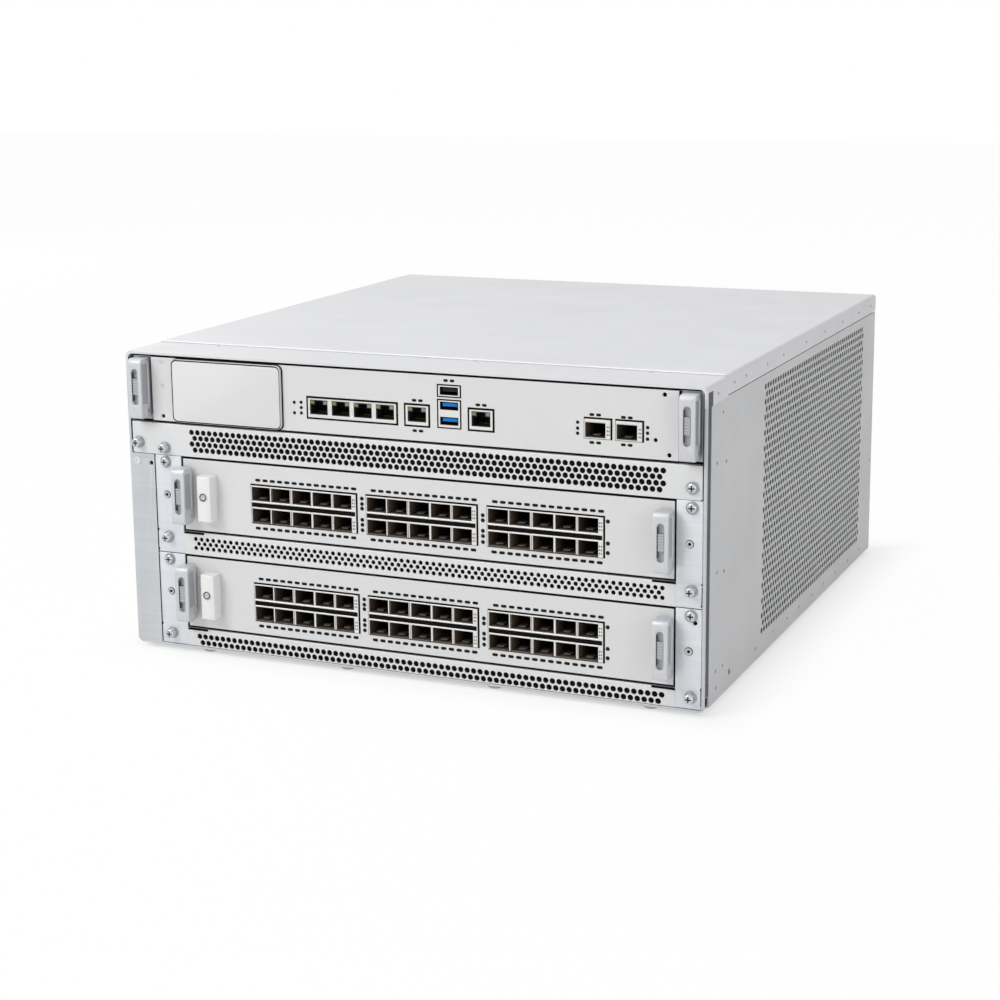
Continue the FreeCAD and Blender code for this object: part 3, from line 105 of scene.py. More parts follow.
def lies_at(axis, place, slack=0.02):
    """Test for faces and edges whose points all lie at one place on an axis."""
    return lambda part: all(abs(point.co[axis] / MM - place) < slack for point in part.verts)


def looks(axis, sign):
    """Test for faces that look along an axis."""
    return lambda face: face.normal[axis] * sign > 0.9


def runs(axis):
    """Test for edges that run along an axis."""
    def test(edge):
        way = (edge.verts[1].co - edge.verts[0].co).normalized()
        return abs(way[axis]) > 0.99
    return test


def every(*tests):
    return lambda part: all(test(part) for test in tests)


def within(axis, low, high):
    """Test for parts whose middle lies between two places on an axis."""
    def test(part):
        middle = sum(point.co[axis] for point in part.verts) / len(part.verts) / MM
        return low < middle < high
    return test


def alternate(axis, start, step):
    """Test for every second face of a row, from the one whose middle lies at start."""
    return lambda face: round((face.calc_center_median()[axis] / MM - start) / step) % 2 == 0


def extrude(x=0, y=0, z=0):
    bpy.ops.mesh.extrude_region_move(TRANSFORM_OT_translate={"value": mm((x, y, z))})


def shift(x=0, y=0, z=0):
    bpy.ops.transform.translate(value=mm((x, y, z)))


def inset(width, depth=0):
    bpy.ops.mesh.inset(thickness=width * MM, depth=depth * MM)


def bevel(width, steps=2):
    bpy.ops.mesh.bevel(offset=width * MM, segments=steps, affect="EDGES")


def bevelled(piece, test, width, steps=2):
    """Bevels the edges that pass the test."""
    pick(piece, "EDGE", test)
    bevel(width, steps)
    shut()
    return piece


def sunk(piece, rim, depth, sign=-1):
    """Sinks the face that looks to the front, or to the rear, inside a rim."""
    pick(piece, "FACE", looks(Y, sign))
    inset(rim)
    extrude(y=depth)
    shut()


def slices(piece, axis, *places):
    """Cuts a piece's faces along planes across an axis."""
    edit(piece)
    normal = [0, 0, 0]
    normal[axis] = 1
    for place in places:
        bpy.ops.mesh.select_all(action="SELECT")
        bpy.ops.mesh.bisect(plane_co=[part * place * MM for part in normal], plane_no=normal)
    shut()


def keep_side(piece, axis, place, upper):
    """Keeps what lies above or below a plane across an axis, and closes the cut."""
    edit(piece)
    bpy.ops.mesh.select_all(action="SELECT")
    normal = [0, 0, 0]
    normal[axis] = 1
    bpy.ops.mesh.bisect(plane_co=[part * place * MM for part in normal], plane_no=normal, use_fill=True,
                        clear_inner=upper, clear_outer=not upper)
    shut()
    return piece


def block(name, low, high):
    """A start: a cube added between two corners."""
    bpy.ops.object.select_all(action="DESELECT")
    middle = [(a + b) / 2 for a, b in zip(low, high)]
    span = [b - a for a, b in zip(low, high)]
    bpy.ops.mesh.primitive_cube_add(size=1, location=mm(middle), scale=mm(span))
    bpy.ops.object.transform_apply()
    piece = bpy.context.object
    piece.name = name
    return piece


LEAN = {X: (0, math.pi / 2, 0), Y: (math.pi / 2, 0, 0), Z: (0, 0, 0)}


def sided_block(name, sign, x, y, z):
    """A block right of the middle, or the same block left of it where sign is -1."""
    near, far = sorted((sign * x[0], sign * x[1]))
    return block(name, (near, y[0], z[0]), (far, y[1], z[1]))


def round_bar(name, axis, radius, middle, length, sides=24):
    """A start: a cylinder added along an axis."""
    bpy.ops.object.select_all(action="DESELECT")
    bpy.ops.mesh.primitive_cylinder_add(vertices=sides, radius=radius * MM, depth=length * MM,
                                        location=mm(middle), rotation=LEAN[axis])
    bpy.ops.object.transform_apply()
    piece = bpy.context.object
    piece.name = name
    return piece


def apply_with(piece, kind, **values):
    alone(piece)
    modifier = piece.modifiers.new(kind.title(), kind)
    for label, value in values.items():
        setattr(modifier, label, value)
    bpy.ops.object.modifier_apply(modifier=modifier.name)


def cut_out(piece, *tools):
    """Takes the tools' shape out of a piece."""
    tool = joined("tool", list(tools))
    apply_with(piece, "BOOLEAN", operation="DIFFERENCE", solver="EXACT", object=tool)
    bpy.data.objects.remove(tool)
    return piece


def soften(piece, width, steps=2, angle=40):
    """Breaks every sharp edge of a piece."""
    apply_with(piece, "BEVEL", width=width * MM, segments=steps, limit_method="ANGLE",
               angle_limit=math.radians(angle))
    return piece


def joined(name, pieces):
    alone(pieces[0])
    for piece in pieces[1:]:
        piece.select_set(True)
    if len(pieces) > 1:
        bpy.ops.object.join()
    pieces[0].name = name
    return pieces[0]


def twin(piece, place=(0, 0, 0)):
    """A copy with its own mesh, moved by a step."""
    copy = piece.copy()
    copy.data = piece.data.copy()
    bpy.context.scene.collection.objects.link(copy)
    copy.data.transform(Matrix.Translation(mm(place)))
    return copy


def turned(piece, axis, angle, centre=(0, 0, 0)):
    """Turns a piece about an axis through a point, in its mesh."""
    way = Vector([1.0 if k == axis else 0.0 for k in range(3)])
    middle = Matrix.Translation(mm(centre))
    piece.data.transform(middle @ Matrix.Rotation(angle, 4, way) @ middle.inverted())
    return piece


def spread(name, piece, places):
    """The same piece at many places, as one object."""
    copies = [twin(piece, place) for place in places]
    bpy.data.objects.remove(piece)
    return joined(name, copies)


def frame_of(name, outer, inner, y):
    """A flat frame: outer and inner are low x, high x, low z and high z."""
    plate = block(name, (outer[0], y[0], outer[2]), (outer[1], y[1], outer[3]))
    return cut_out(plate, block("opening", (inner[0], y[0] - 2, inner[2]), (inner[1], y[1] + 2, inner[3])))


def settle(piece, body, slot, finish, nodes=(), smooth=35):
    """A finished piece takes its finish, rides on its body and stands for the nodes it replaces."""
    if bpy.context.mode == "EDIT_MESH":
        shut()
    alone(piece)
    piece.data.materials.clear()
    piece.data.materials.append(finish)
    bpy.ops.object.shade_smooth_by_angle(angle=math.radians(smooth))
    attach(piece, body)
    if nodes:
        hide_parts(*nodes)
    return piece


def set_out(name, form, places, *seat, **more):
    """The same form at many places as one piece, settled."""
    return settle(spread(name, form, places), *seat, **more)


# Finishes


def group_of(name, inputs, outputs):
    tree = bpy.data.node_groups.new(name, "ShaderNodeTree")
    for label, kind, value in inputs:
        socket = tree.interface.new_socket(label, in_out="INPUT", socket_type="NodeSocket" + kind)
        socket.default_value = value
    for label, kind in outputs:
        tree.interface.new_socket(label, in_out="OUTPUT", socket_type="NodeSocket" + kind)
    return tree, tree.nodes.new("NodeGroupInput"), tree.nodes.new("NodeGroupOutput")


def feed(tree, node, values):
    """Sets a node's inputs by name or number, or links the ones whose value is a socket."""
    for label, value in values.items():
        if isinstance(value, bpy.types.NodeSocket):
            tree.links.new(value, node.inputs[label])
        else:
            node.inputs[label].default_value = value
    return node


def add_node(tree, kind, values, **settings):
    """A new shader node with its settings, and its inputs fed."""
    node = tree.nodes.new("ShaderNode" + kind)
    for label, value in settings.items():
        setattr(node, label, value)
    return feed(tree, node, values)


def calc(tree, operation, *values):
    """A math node's result."""
    return add_node(tree, "Math", dict(enumerate(values)), operation=operation).outputs["Value"]


def noise_in(tree, scale, detail, stretch=None):
    """A noise on object coordinates, stretched along an axis where asked."""
    source = add_node(tree, "TexCoord", {}).outputs["Object"]
    if stretch:
        source = add_node(tree, "Mapping", {"Scale": stretch, "Vector": source}).outputs["Vector"]
    return add_node(tree, "TexNoise", {"Scale": scale, "Detail": detail, "Vector": source}).outputs["Fac"]


def ranged(tree, source, low, high):
    """Maps a noise's middle range to two values or sockets."""
    values = {"From Min": 0.3, "From Max": 0.7, "To Min": low, "To Max": high, "Value": source}
    return add_node(tree, "MapRange", values).outputs["Result"]


def shaded(tree, colour, factor):
    """A colour multiplied by a grey value."""
    values = {"Factor": 1.0, "A": colour, "B": factor}
    return add_node(tree, "Mix", values, data_type="RGBA", blend_type="MULTIPLY").outputs["Result"]


def look_group(name, tone, tone_noise, height_noise=None):
    """A surface: one noise in its tone, and another or the same in its height."""
    tree, given, out = group_of(name, [("Colour", "Color", (0.7, 0.7, 0.7, 1)), ("Tone", "Float", tone)],
                                [("Colour", "Color"), ("Height", "Float")])
    cloud = noise_in(tree, *tone_noise)
    grey = ranged(tree, cloud, given.outputs["Tone"], 1.0)
    height = noise_in(tree, *height_noise) if height_noise else cloud
    feed(tree, out, {"Colour": shaded(tree, given.outputs["Colour"], grey), "Height": height})
    return tree


def touch_group():
    """Handling: patches that are a little smoother or duller."""
    tree, given, out = group_of("Handling", [("Smooth", "Float", 0.35), ("Dull", "Float", 0.5)],
                                [("Roughness", "Float")])
    patches = noise_in(tree, 22.0, 6.0)
    feed(tree, out, {"Roughness": ranged(tree, patches, given.outputs["Smooth"], given.outputs["Dull"])})
    return tree


# sprayed paint has a slow change of tone and a fine orange peel, rolled and drawn metal has long fine lines
SPRAYED = look_group("Sprayed coat", 0.95, (9.0, 4.0), (1800.0, 2.0))
ROLLED = look_group("Rolled sheet", 0.85, (1.0, 5.0, (5.0, 260.0, 420.0)))
DRAWN = look_group("Drawn sheet", 0.85, (1.0, 5.0, (700.0, 40.0, 700.0)))
HANDLING = touch_group()


def finish(name, colour, look, tone=0.94, metal=0.0, smooth=0.35, dull=0.5, bump=0.00002, specular=0.5):
    """A material: one look group for tone and height, the handling group for roughness."""
    material = bpy.data.materials.new(name)
    material.use_nodes = True
    tree = material.node_tree
    surface = add_node(tree, "Group", {"Colour": (*colour, 1), "Tone": tone}, node_tree=look)
    touch = add_node(tree, "Group", {"Smooth": smooth, "Dull": dull}, node_tree=HANDLING)
    relief = add_node(tree, "Bump", {"Distance": bump, "Strength": 0.6, "Height": surface.outputs["Height"]})
    feed(tree, tree.nodes["Principled BSDF"],
         {"Metallic": metal, "Specular IOR Level": specular, "Base Color": surface.outputs["Colour"],
          "Roughness": touch.outputs["Roughness"], "Normal": relief.outputs["Normal"]})
    return material


PANEL_PAINT = finish("panel_paint", (0.674, 0.674, 0.674), SPRAYED, 0.97)
PLATE_PAINT = finish("plate_paint", (0.70, 0.70, 0.695), SPRAYED, 0.97)
COVER_PAINT = finish("cover_paint", (0.69, 0.695, 0.715), SPRAYED, 0.96, 0.1, 0.38, 0.52)
WALL_STEEL = finish("wall_steel", (0.57, 0.575, 0.585), SPRAYED, 0.94, 0.2, 0.38, 0.52)
STRIP_PAINT = finish("strip_paint", (0.70, 0.705, 0.71), SPRAYED, 0.96, 0.1)
BEZEL_ZINC = finish("bezel_zinc", (0.56, 0.58, 0.60), ROLLED, 0.93, 0.35, 0.34, 0.48)
JAMB_ZINC = finish("jamb_zinc", (0.72, 0.74, 0.77), ROLLED, 0.93, 0.35, 0.34, 0.48)
CAGE_NICKEL = finish("cage_nickel", (0.80, 0.79, 0.77), ROLLED, 0.85, 0.75, 0.22, 0.4)
# painted shade: the card cage's steel is darkened for the shaded inside of the chassis
CAGE_SHADE_STEEL = finish("cage_steel_painted_shade", (0.20, 0.205, 0.21), ROLLED, 0.85, 0.3, 0.4, 0.55)
TAB_STEEL = finish("tab_steel", (0.17, 0.165, 0.16), ROLLED, 0.8, 0.6, 0.3, 0.5)
# painted shade: the washers are darker than the screw heads, for the shaded grey ring round each head; the
# flush rivets share this finish
WASHER_SHADE_ZINC = finish("washer_zinc_painted_shade", (0.36, 0.37, 0.39), ROLLED, 0.85, 0.7, 0.25, 0.4)
SCREW_ZINC = finish("screw_zinc", (0.60, 0.62, 0.65), ROLLED, 0.82, 0.8, 0.2, 0.36)
LEVER_CAST = finish("lever_cast", (0.60, 0.61, 0.63), SPRAYED, 0.92, 0.3, 0.42, 0.58, 0.00004)
# also painted shade: the bottoms of the levers' sunk side panels take this darker grey
LATCH_AND_SHADE_GREY = finish("latch_grey", (0.44, 0.45, 0.47), SPRAYED, 0.9, 0.2, 0.35, 0.5)
BLOCK_WHITE = finish("block_white", (0.78, 0.78, 0.775), SPRAYED, 0.97, 0.0, 0.34, 0.46)
# painted highlight: the hem is far lighter than the cover, for the bright line along the seam
HEM_HIGHLIGHT_PAINT = finish("hem_painted_highlight", (0.90, 0.90, 0.90), SPRAYED, 0.97, 0.0, 0.35, 0.45)
# also painted shade: the bottoms of screw crosses and the ring round each block screw
BLACK_PLASTIC_AND_SHADE = finish("black_plastic_and_painted_shade", (0.012, 0.012, 0.013), SPRAYED, 0.8, 0.0, 0.4, 0.6, specular=0.2)
# painted shade: dark brown-black inside ports, at the cages' feet and in the holes of their end walls
CAGE_SHADE = finish("cage_painted_shade", (0.110, 0.082, 0.060), SPRAYED, 0.4, 0.0, 0.35, 0.6, specular=0.2)
# painted shade: black for the shade in gaps round panels, windows and plates, and in ports, holes and rivet
# middles
SHADE_BLACK = finish("painted_shade_black", (0.006, 0.006, 0.007), SPRAYED, 0.8, 0.0, 0.7, 0.9, specular=0.05)
# foam of the intake filters, and painted shade on the screens behind the wall perforations
FOAM_AND_SHADE_BLACK = finish("foam_and_painted_shade_black", (0.008, 0.008, 0.009), SPRAYED, 0.5, 0.0, 0.8, 0.95, 0.0004, specular=0.05)
# painted shade: the recess band beside the front lip and the left wall of each lever slot
SHADE_GREY = finish("painted_shade_grey", (0.060, 0.062, 0.066), SPRAYED, 0.9, 0.0, 0.4, 0.55, specular=0.25)
LAMP_GREEN = finish("lamp_green", (0.16, 0.23, 0.10), SPRAYED, 0.7, 0.0, 0.15, 0.3, 0.00001, specular=0.3)
LAMP_PALE = finish("lamp_pale", (0.23, 0.25, 0.20), SPRAYED, 0.7, 0.0, 0.15, 0.3, 0.00001, specular=0.3)
LAMP_DARK = finish("lamp_dark", (0.012, 0.012, 0.013), SPRAYED, 0.8, 0.0, 0.3, 0.5, 0.00001, specular=0.1)
CONTACT_GOLD = finish("contact_gold", (0.30, 0.20, 0.08), DRAWN, 0.85, 0.9, 0.22, 0.36)
TONGUE_BLUE = finish("tongue_blue", (0.008, 0.20, 0.60), SPRAYED, 0.9, 0.0, 0.3, 0.42, specular=0.15)
BOARD_GREEN = finish("board_green", (0.02, 0.12, 0.06), DRAWN, 0.7, 0.0, 0.3, 0.45)
FAN_BLACK = finish("fan_black", (0.022, 0.022, 0.024), SPRAYED, 0.8, 0.0, 0.4, 0.55, specular=0.35)
WIRE_NICKEL = finish("wire_nickel", (0.55, 0.55, 0.54), DRAWN, 0.9, 0.85, 0.2, 0.32)
CHIP_BLACK = finish("chip_black", (0.020, 0.020, 0.022), SPRAYED, 0.7, 0.0, 0.5, 0.7, specular=0.3)
FIN_SILVER = finish("fin_silver", (0.62, 0.63, 0.65), ROLLED, 0.9, 0.8, 0.3, 0.45)
FOOT_RUBBER = finish("foot_rubber", (0.60, 0.61, 0.62), SPRAYED, 0.9, 0.0, 0.5, 0.7)
TRAY_STEEL = finish("tray_steel", (0.55, 0.56, 0.58), ROLLED, 0.92, 0.35, 0.34, 0.48)
SUPPLY_STEEL = finish("supply_steel", (0.56, 0.56, 0.57), DRAWN, 0.9, 0.5, 0.3, 0.46)
TAB_PLASTIC = finish("tab_plastic", (0.05, 0.17, 0.42), SPRAYED, 0.9, 0.0, 0.34, 0.46)

SLOT_FINISH = {
    "wall_grey": WALL_STEEL, "cover_grey": COVER_PAINT, "bezel_zinc": BEZEL_ZINC,
    "strip_grey": STRIP_PAINT, "panel_grey": PANEL_PAINT, "cover_plate": PLATE_PAINT,
    "rail_plastic": BLACK_PLASTIC_AND_SHADE, "board_green": BOARD_GREEN, "cage_nickel": CAGE_NICKEL,
    "tongue_blue": TONGUE_BLUE, "screw_zinc": SCREW_ZINC, "block_white": BLOCK_WHITE,
    "foot_rubber": FOOT_RUBBER, "tray_steel": TRAY_STEEL, "rotor_black": BLACK_PLASTIC_AND_SHADE,
    "supply_steel": SUPPLY_STEEL, "tab_plastic": TAB_PLASTIC, "lever_cast": LEVER_CAST,
    "latch_grey": LATCH_AND_SHADE_GREY,
}
# painted shade: the card cage takes a darkened steel so that the inside looks shaded
NODE_FINISH = {"card_cage": CAGE_SHADE_STEEL}
SOFT_EDGES = {"base_pan": 0.3, "top_cover": 0.5, "front_hood": 0.3}

for entry in frame["record"]["subparts"]:
    solid = NODES[entry["node"]]
    solid.data.materials.clear()
    solid.data.materials.append(NODE_FINISH.get(entry["node"], SLOT_FINISH[entry["material_slot"]]))
    if entry["node"] in SOFT_EDGES:
        weld = solid.modifiers.new("Weld", "WELD")
        weld.merge_threshold = WELD
        edges = solid.modifiers.new("Soft edges", "BEVEL")
        edges.width, edges.segments = SOFT_EDGES[entry["node"]] * MM, 2
        edges.limit_method, edges.angle_limit = "ANGLE", math.radians(40)


# Perforated sheets


def hole_cell(pitch, row, radius):
    """A rectangle of sheet with a round hole, whose border has eight points."""
    bpy.ops.object.select_all(action="DESELECT")
    bpy.ops.mesh.primitive_plane_add(size=1)
    cell = bpy.context.object
    cell.scale = (pitch * MM, row * MM, 1)
    bpy.ops.object.transform_apply()
    edit(cell)
    bpy.ops.mesh.select_all(action="SELECT")
    bpy.ops.mesh.subdivide(number_cuts=1)
    pick(cell, "VERT", lambda point: point.co.length < WELD)
    bpy.ops.mesh.delete(type="VERT")
    bpy.ops.mesh.primitive_circle_add(vertices=12, radius=radius * MM)
    bpy.ops.mesh.select_mode(type="EDGE")
    bpy.ops.mesh.select_all(action="SELECT")
    bpy.ops.mesh.bridge_edge_loops()
    shut()
    return cell


def half_blank(pitch, row):
    """Half a cell without a hole, for the ends of staggered rows."""
    bpy.ops.object.select_all(action="DESELECT")
    bpy.ops.mesh.primitive_grid_add(x_subdivisions=1, y_subdivisions=2, size=1)
    blank = bpy.context.object
    blank.scale = (pitch / 2 * MM, row * MM, 1)
    bpy.ops.object.transform_apply()
    return blank


def in_row(cell, count, pitch):
    """A cell repeated along X."""
    row = twin(cell)
    apply_with(row, "ARRAY", count=count, use_relative_offset=False, use_constant_offset=True,
               constant_offset_displace=(pitch * MM, 0, 0))
    return row


def perforated(name, start, counts, steps, radius, sheet, shorter=False):
    """A flat sheet with staggered rows of holes, top row first; start is the first cell's low left corner.
    Every second row is half a pitch late, and has a hole less where asked."""
    (columns, rows), (pitch, row) = counts, steps
    cell, blank = hole_cell(pitch, row, radius), half_blank(pitch, row)
    early, late = in_row(cell, columns, pitch), in_row(cell, columns - shorter, pitch)
    pieces = []
    for k in range(rows):
        level = start[1] + (k + 0.5) * row
        is_late = (rows - 1 - k) % 2
        pieces.append(twin(late if is_late else early, (start[0] + (1 + is_late) * pitch / 2, level, 0)))
        if is_late:
            pieces.append(twin(blank, (start[0] + pitch / 4, level, 0)))
        if is_late == shorter:
            end = pitch * (0.75 if shorter else 0.25)
            pieces.append(twin(blank, (start[0] + (columns - shorter) * pitch + end, level, 0)))
    for form in (cell, blank, early, late):
        bpy.data.objects.remove(form)
    field = joined(name, pieces)
    edit(field)
    bpy.ops.mesh.select_all(action="SELECT")
    bpy.ops.mesh.remove_doubles(threshold=WELD)
    left, low = start
    right, high = left + (columns + (0 if shorter else 0.5)) * pitch, low + rows * row
    for axis, border, edge in ((X, left, sheet[0]), (X, right, sheet[1]),
                               (Y, low, sheet[2]), (Y, high, sheet[3])):
        pick(field, "EDGE", lies_at(axis, border))
        extrude(*((edge - border, 0) if axis == X else (0, edge - border)))
    bpy.ops.mesh.select_all(action="SELECT")
    bpy.ops.mesh.normals_make_consistent(inside=False)
    pick(field, "FACE", lambda face: face.normal.z < 0)
    bpy.ops.mesh.flip_normals()
    shut()
    return field


def stand_up(sheet, turn, place):
    """Turns a flat sheet upright about the origin and moves it to its plane."""
    sheet.rotation_euler = (math.pi / 2, 0, turn)
    sheet.location = mm(place)
    alone(sheet)
    bpy.ops.object.transform_apply()


def thicken(sheet, thickness):
    apply_with(sheet, "SOLIDIFY", thickness=thickness * MM, offset=-1)


def round_corners(sheet, places, radius):
    """Rounds the named corner points of a flat sheet."""
    corners = [Vector(mm(place)) for place in places]
    pick(sheet, "VERT", lambda point: any((point.co - corner).length < 0.05 * MM for corner in corners))
    bpy.ops.mesh.bevel(offset=radius * MM, segments=4, affect="VERTICES")
    shut()


# node: height of the first cells above the pan, rows, row pitch, hole radius
HOLE_START, HOLE_COUNT, HOLE_PITCH = -170.46, 74, 4.919
STRIP_HOLES = {
    "upper_intake": (147.85, 4, 4.3, 2.08),
    "middle_intake": (74.92, 3, 3.35, 1.64),
    "lower_intake": (2.15, 2, 4.7, 2.12),
}
STRIP_SHEET, TONGUE_DROP = 0.8, 1.6
TONGUE = (-160.0, 184.5)


def intake_strips():
    """The perforated strips; the two lower ones have a rounded tongue along the top between two notches."""
    for node, (up, rows, row, radius) in STRIP_HOLES.items():
        low, high = reach(node)
        has_tongue = node != "upper_intake"
        top = high.z - TONGUE_DROP if has_tongue else high.z
        strip = perforated("perforated_" + node, (HOLE_START, PAN + up), (HOLE_COUNT, rows),
                           (HOLE_PITCH, row), radius, (low.x, high.x, low.z, top), True)
        if has_tongue:
            pick(strip, "EDGE", every(lies_at(Y, top), within(X, *TONGUE)))
            extrude(y=TONGUE_DROP)
            shut()
        else:
            round_corners(strip, ((low.x, low.z, 0), (high.x, low.z, 0)), 2.5)
        stand_up(strip, 0, (0, low.y, 0))
        thicken(strip, STRIP_SHEET)
        bevelled(strip, every(lies_at(Z, high.z), lies_at(Y, low.y), runs(X)), 0.6, 3)
        settle(strip, "chassis", "strip_grey", STRIP_PAINT, [node])
        foam = block(node + "_filter", (low.x + 1, low.y + STRIP_SHEET + 0.05, low.z + 0.6),
                     (high.x - 1, high.y - 0.05, high.z - 0.2))
        slices(foam, X, -100, 0, 100)
        bevelled(foam, runs(X), 0.1, 1)
        settle(foam, "chassis", "rail_plastic", FOAM_AND_SHADE_BLACK)


# Side walls: field's start from the front and the pan, holes and rows, pitches, radius; then small holes
WALL_FIELD = ((-101.5, 19.0), (45, 33), (6.5, 5.6), 2.4)
WALL_HOLES = ((37.3, 197.3), (45.4, 162.5), (24.9, 165.1), (43.3, 87.2), (28.1, 89.8), (42.7, 20.5),
              (27.5, 21.1), (28.0, 9.1), (122.2, 9.2))
WALL_DIMPLES = ((168.6, 9.0), (207.0, 8.6), (241.0, 8.3), (279.0, 8.0), (315.0, 7.6), (353.0, 7.3),
                (395.0, 7.0), (435.0, 6.8), (463.0, 79.5))
FLANGE_DIMPLES = ((22.9, 212.2), (61.0, 213.5), (88.0, 213.5), (140.0, 213.5), (182.0, 213.5), (245.0, 213.5),
                  (300.0, 213.5), (356.0, 213.5), (410.0, 213.5), (452.0, 213.5))
WALL_SHEET, WALL_FOLD, HOOD_DEPTH = 0.6, 1.2, 46
SCREEN_X, LAP_X = (219.1, 219.5), (218.0, 219.0)
# places of the painted shade band in the recess behind the lip and on the hood's side flange
BAND_X, FLANGE_X = (219.4, 219.75), (220.95, 221.04)
BAND_BREAKS = (8.3, 17.9, 90.3, 211.7)
BAND_REACH = (FRONT + 2.1, FRONT + 11.9)


def dimple_form(radius):
    """A flush rivet looking along X, with a sunk middle."""
    dimple = round_bar("dimple", X, radius, (0, 0, 0), 0.5, 14)
    pick(dimple, "FACE", lambda face: abs(face.normal.x) > 0.9)
    inset(radius * 0.45, -0.15)
    shut()
    return dimple


def side_walls():
    """Each wall: perforated sheet, plain front with small holes, fold, lap, and a black screen of painted
    shade behind.
    """
    dimples = []
    for side, sign in (("left", -1), ("right", 1)):
        node = f"{side}_side_wall"
        low, high = reach(node)
        front, rear = low.y, high.y
        start, counts, steps, radius = WALL_FIELD
        field_front = start[0] - 8
        top = reach("top_cover")[0].z - 0.6
        outer, inner = (high.x, high.x - WALL_FOLD) if sign > 0 else (low.x, low.x + WALL_FOLD)
        if sign > 0:
            wall = perforated(node + "_sheet", start, counts, steps, radius, (field_front, rear, low.z, top))
        else:
            mirrored = (-(start[0] + (counts[0] + 0.5) * steps[0]), start[1])
            wall = perforated(node + "_sheet", mirrored, counts, steps, radius,
                              (-rear, -field_front, low.z, top))
        stand_up(wall, sign * math.pi / 2, (outer, 0, 0))
        thicken(wall, WALL_SHEET)
        plain = block("plain", (min(outer, inner), front, low.z), (max(outer, inner), field_front, top))
        tools = [round_bar("tool", X, 1.3, (outer, FRONT + d, PAN + z), 10, 16) for d, z in WALL_HOLES]
        tools.append(round_bar("tool", X, 2.2, (outer, FRONT + 58.6, PAN + 11.4), 10, 20))
        cut_out(plain, *tools)
        fold = sided_block("fold", sign, LAP_X, (front, front + WALL_FOLD), (11.5, top))
        lap = sided_block("lap", sign, LAP_X, (front, rear - WALL_FOLD), (top - 10, top + 10))
        for sheet in (fold, lap):
            bevelled(sheet, runs(Z), 0.3)
        whole = joined(node + "_perforated", [wall, plain, fold, lap])
        settle(whole, "chassis", "wall_grey", WALL_STEEL, [node])
        # painted shade: a black screen behind the perforations so that the holes look into shade
        screen = sided_block("screen", sign, SCREEN_X, (field_front + 4, rear - 12), (low.z + 10, top - 4))
        settle(bevelled(screen, runs(X), 2.0, 2), "chassis", "rail_plastic",
               FOAM_AND_SHADE_BLACK).name = side + "_vent_screen"
        dimples += [(outer, FRONT + d, PAN + z) for d, z in WALL_DIMPLES]
        edge = reach("top_cover")[1].x * sign
        dimples += [(edge, FRONT + d, PAN + z) for d, z in FLANGE_DIMPLES if d > HOOD_DEPTH]
        dimples += [(sign * 221.0, FRONT + d, PAN + z) for d, z in FLANGE_DIMPLES if d < HOOD_DEPTH]
        # painted shade: dark strips in the recess behind the front lip, and one laid on the hood's side
        # flange so the shaded recess seems to run on
        band = []
        for foot, head in zip(BAND_BREAKS, BAND_BREAKS[1:]):
            strip = sided_block("band", sign, BAND_X, BAND_REACH, (PAN + foot + 0.25, PAN + head - 0.25))
            band.append(bevelled(strip, lies_at(X, sign * BAND_X[1]), 0.15, 1))
        strip = sided_block("band", sign, FLANGE_X, BAND_REACH, (PAN + 206.0, PAN + 216.0))
        band.append(bevelled(strip, lies_at(X, sign * FLANGE_X[1]), 0.03, 1))
        settle(joined(side + "_recess_shade_band", band), "chassis", "rail_plastic", SHADE_GREY)
    set_out("flush_rivets", dimple_form(1.1), dimples, "chassis", "screw_zinc", WASHER_SHADE_ZINC)


# Front frame, jambs and panels


def front_frame():
    """The lip round the front with its wide column, and the hood's lip above it."""
    low, high = reach("front_bezel")
    back = FRONT + 2.0
    plate = block("front_frame", (low.x, FRONT, low.z), (high.x, back, high.z))
    bevelled(plate, runs(Y), 4.0, 5)
    lower = block("lower", (-200.2, FRONT - 3, 5.0), (219.0, back + 3, 148.5))
    upper = block("upper", (-219.0, FRONT - 3, 147.9), (219.0, back + 3, 221.7))
    bevelled(upper, every(runs(Y), lies_at(Z, 221.7)), 3.4, 5)
    hole = round_bar("hole", Y, 1.6, (LEFT_EDGE + 18.0, FRONT, PAN + 137.8), 12, 20)
    cut_out(plate, lower)
    cut_out(plate, upper)
    cut_out(plate, hole)
    lip = twin(plate)
    keep_side(plate, Z, 209.5, False)
    keep_side(lip, Z, 209.5, True)
    bevelled(lip, every(lies_at(Z, high.z), lies_at(Y, FRONT)), 1.5, 4)
    soften(plate, 0.3, 2, 50)
    returns = []
    for sign in (-1, 1):
        flange = sided_block("return", sign, (218.4, 219.4), (back, FRONT + 12.0), (11.5, 215.5))
        returns.append(bevelled(flange, runs(Z), 0.2, 1))
    settle(joined("front_frame", [plate] + returns), "chassis", "bezel_zinc", BEZEL_ZINC, ["front_bezel"])
    # painted shade: black lines along the lip's inner edges and beside the column, where the gaps fall in
    # shade
    lines = [sided_block("line", sign, (218.25, 218.98), (FRONT + 0.08, FRONT + 1.6), (149.5, 219.0))
             for sign in (-1, 1)]
    for z in ((76.5, 90.0), (8.0, 19.5)):
        lines.append(block("line", (218.35, FRONT + 0.2, z[0]), (218.98, FRONT + 1.6, z[1])))
    lines.append(block("line", (-200.18, FRONT + 0.1, 6.0), (-199.85, FRONT + 1.6, 147.8)))
    for line in lines:
        bevelled(line, runs(Z), 0.08, 1)
    settle(joined("opening_shade_lines", lines), "chassis", "rail_plastic", SHADE_BLACK)
    settle(lip, "chassis", "cover_grey", COVER_PAINT, ["front_bezel"]).name = "hood_lip"


JAMB_NOTCHES = (16.0, 73.5, 88.0)


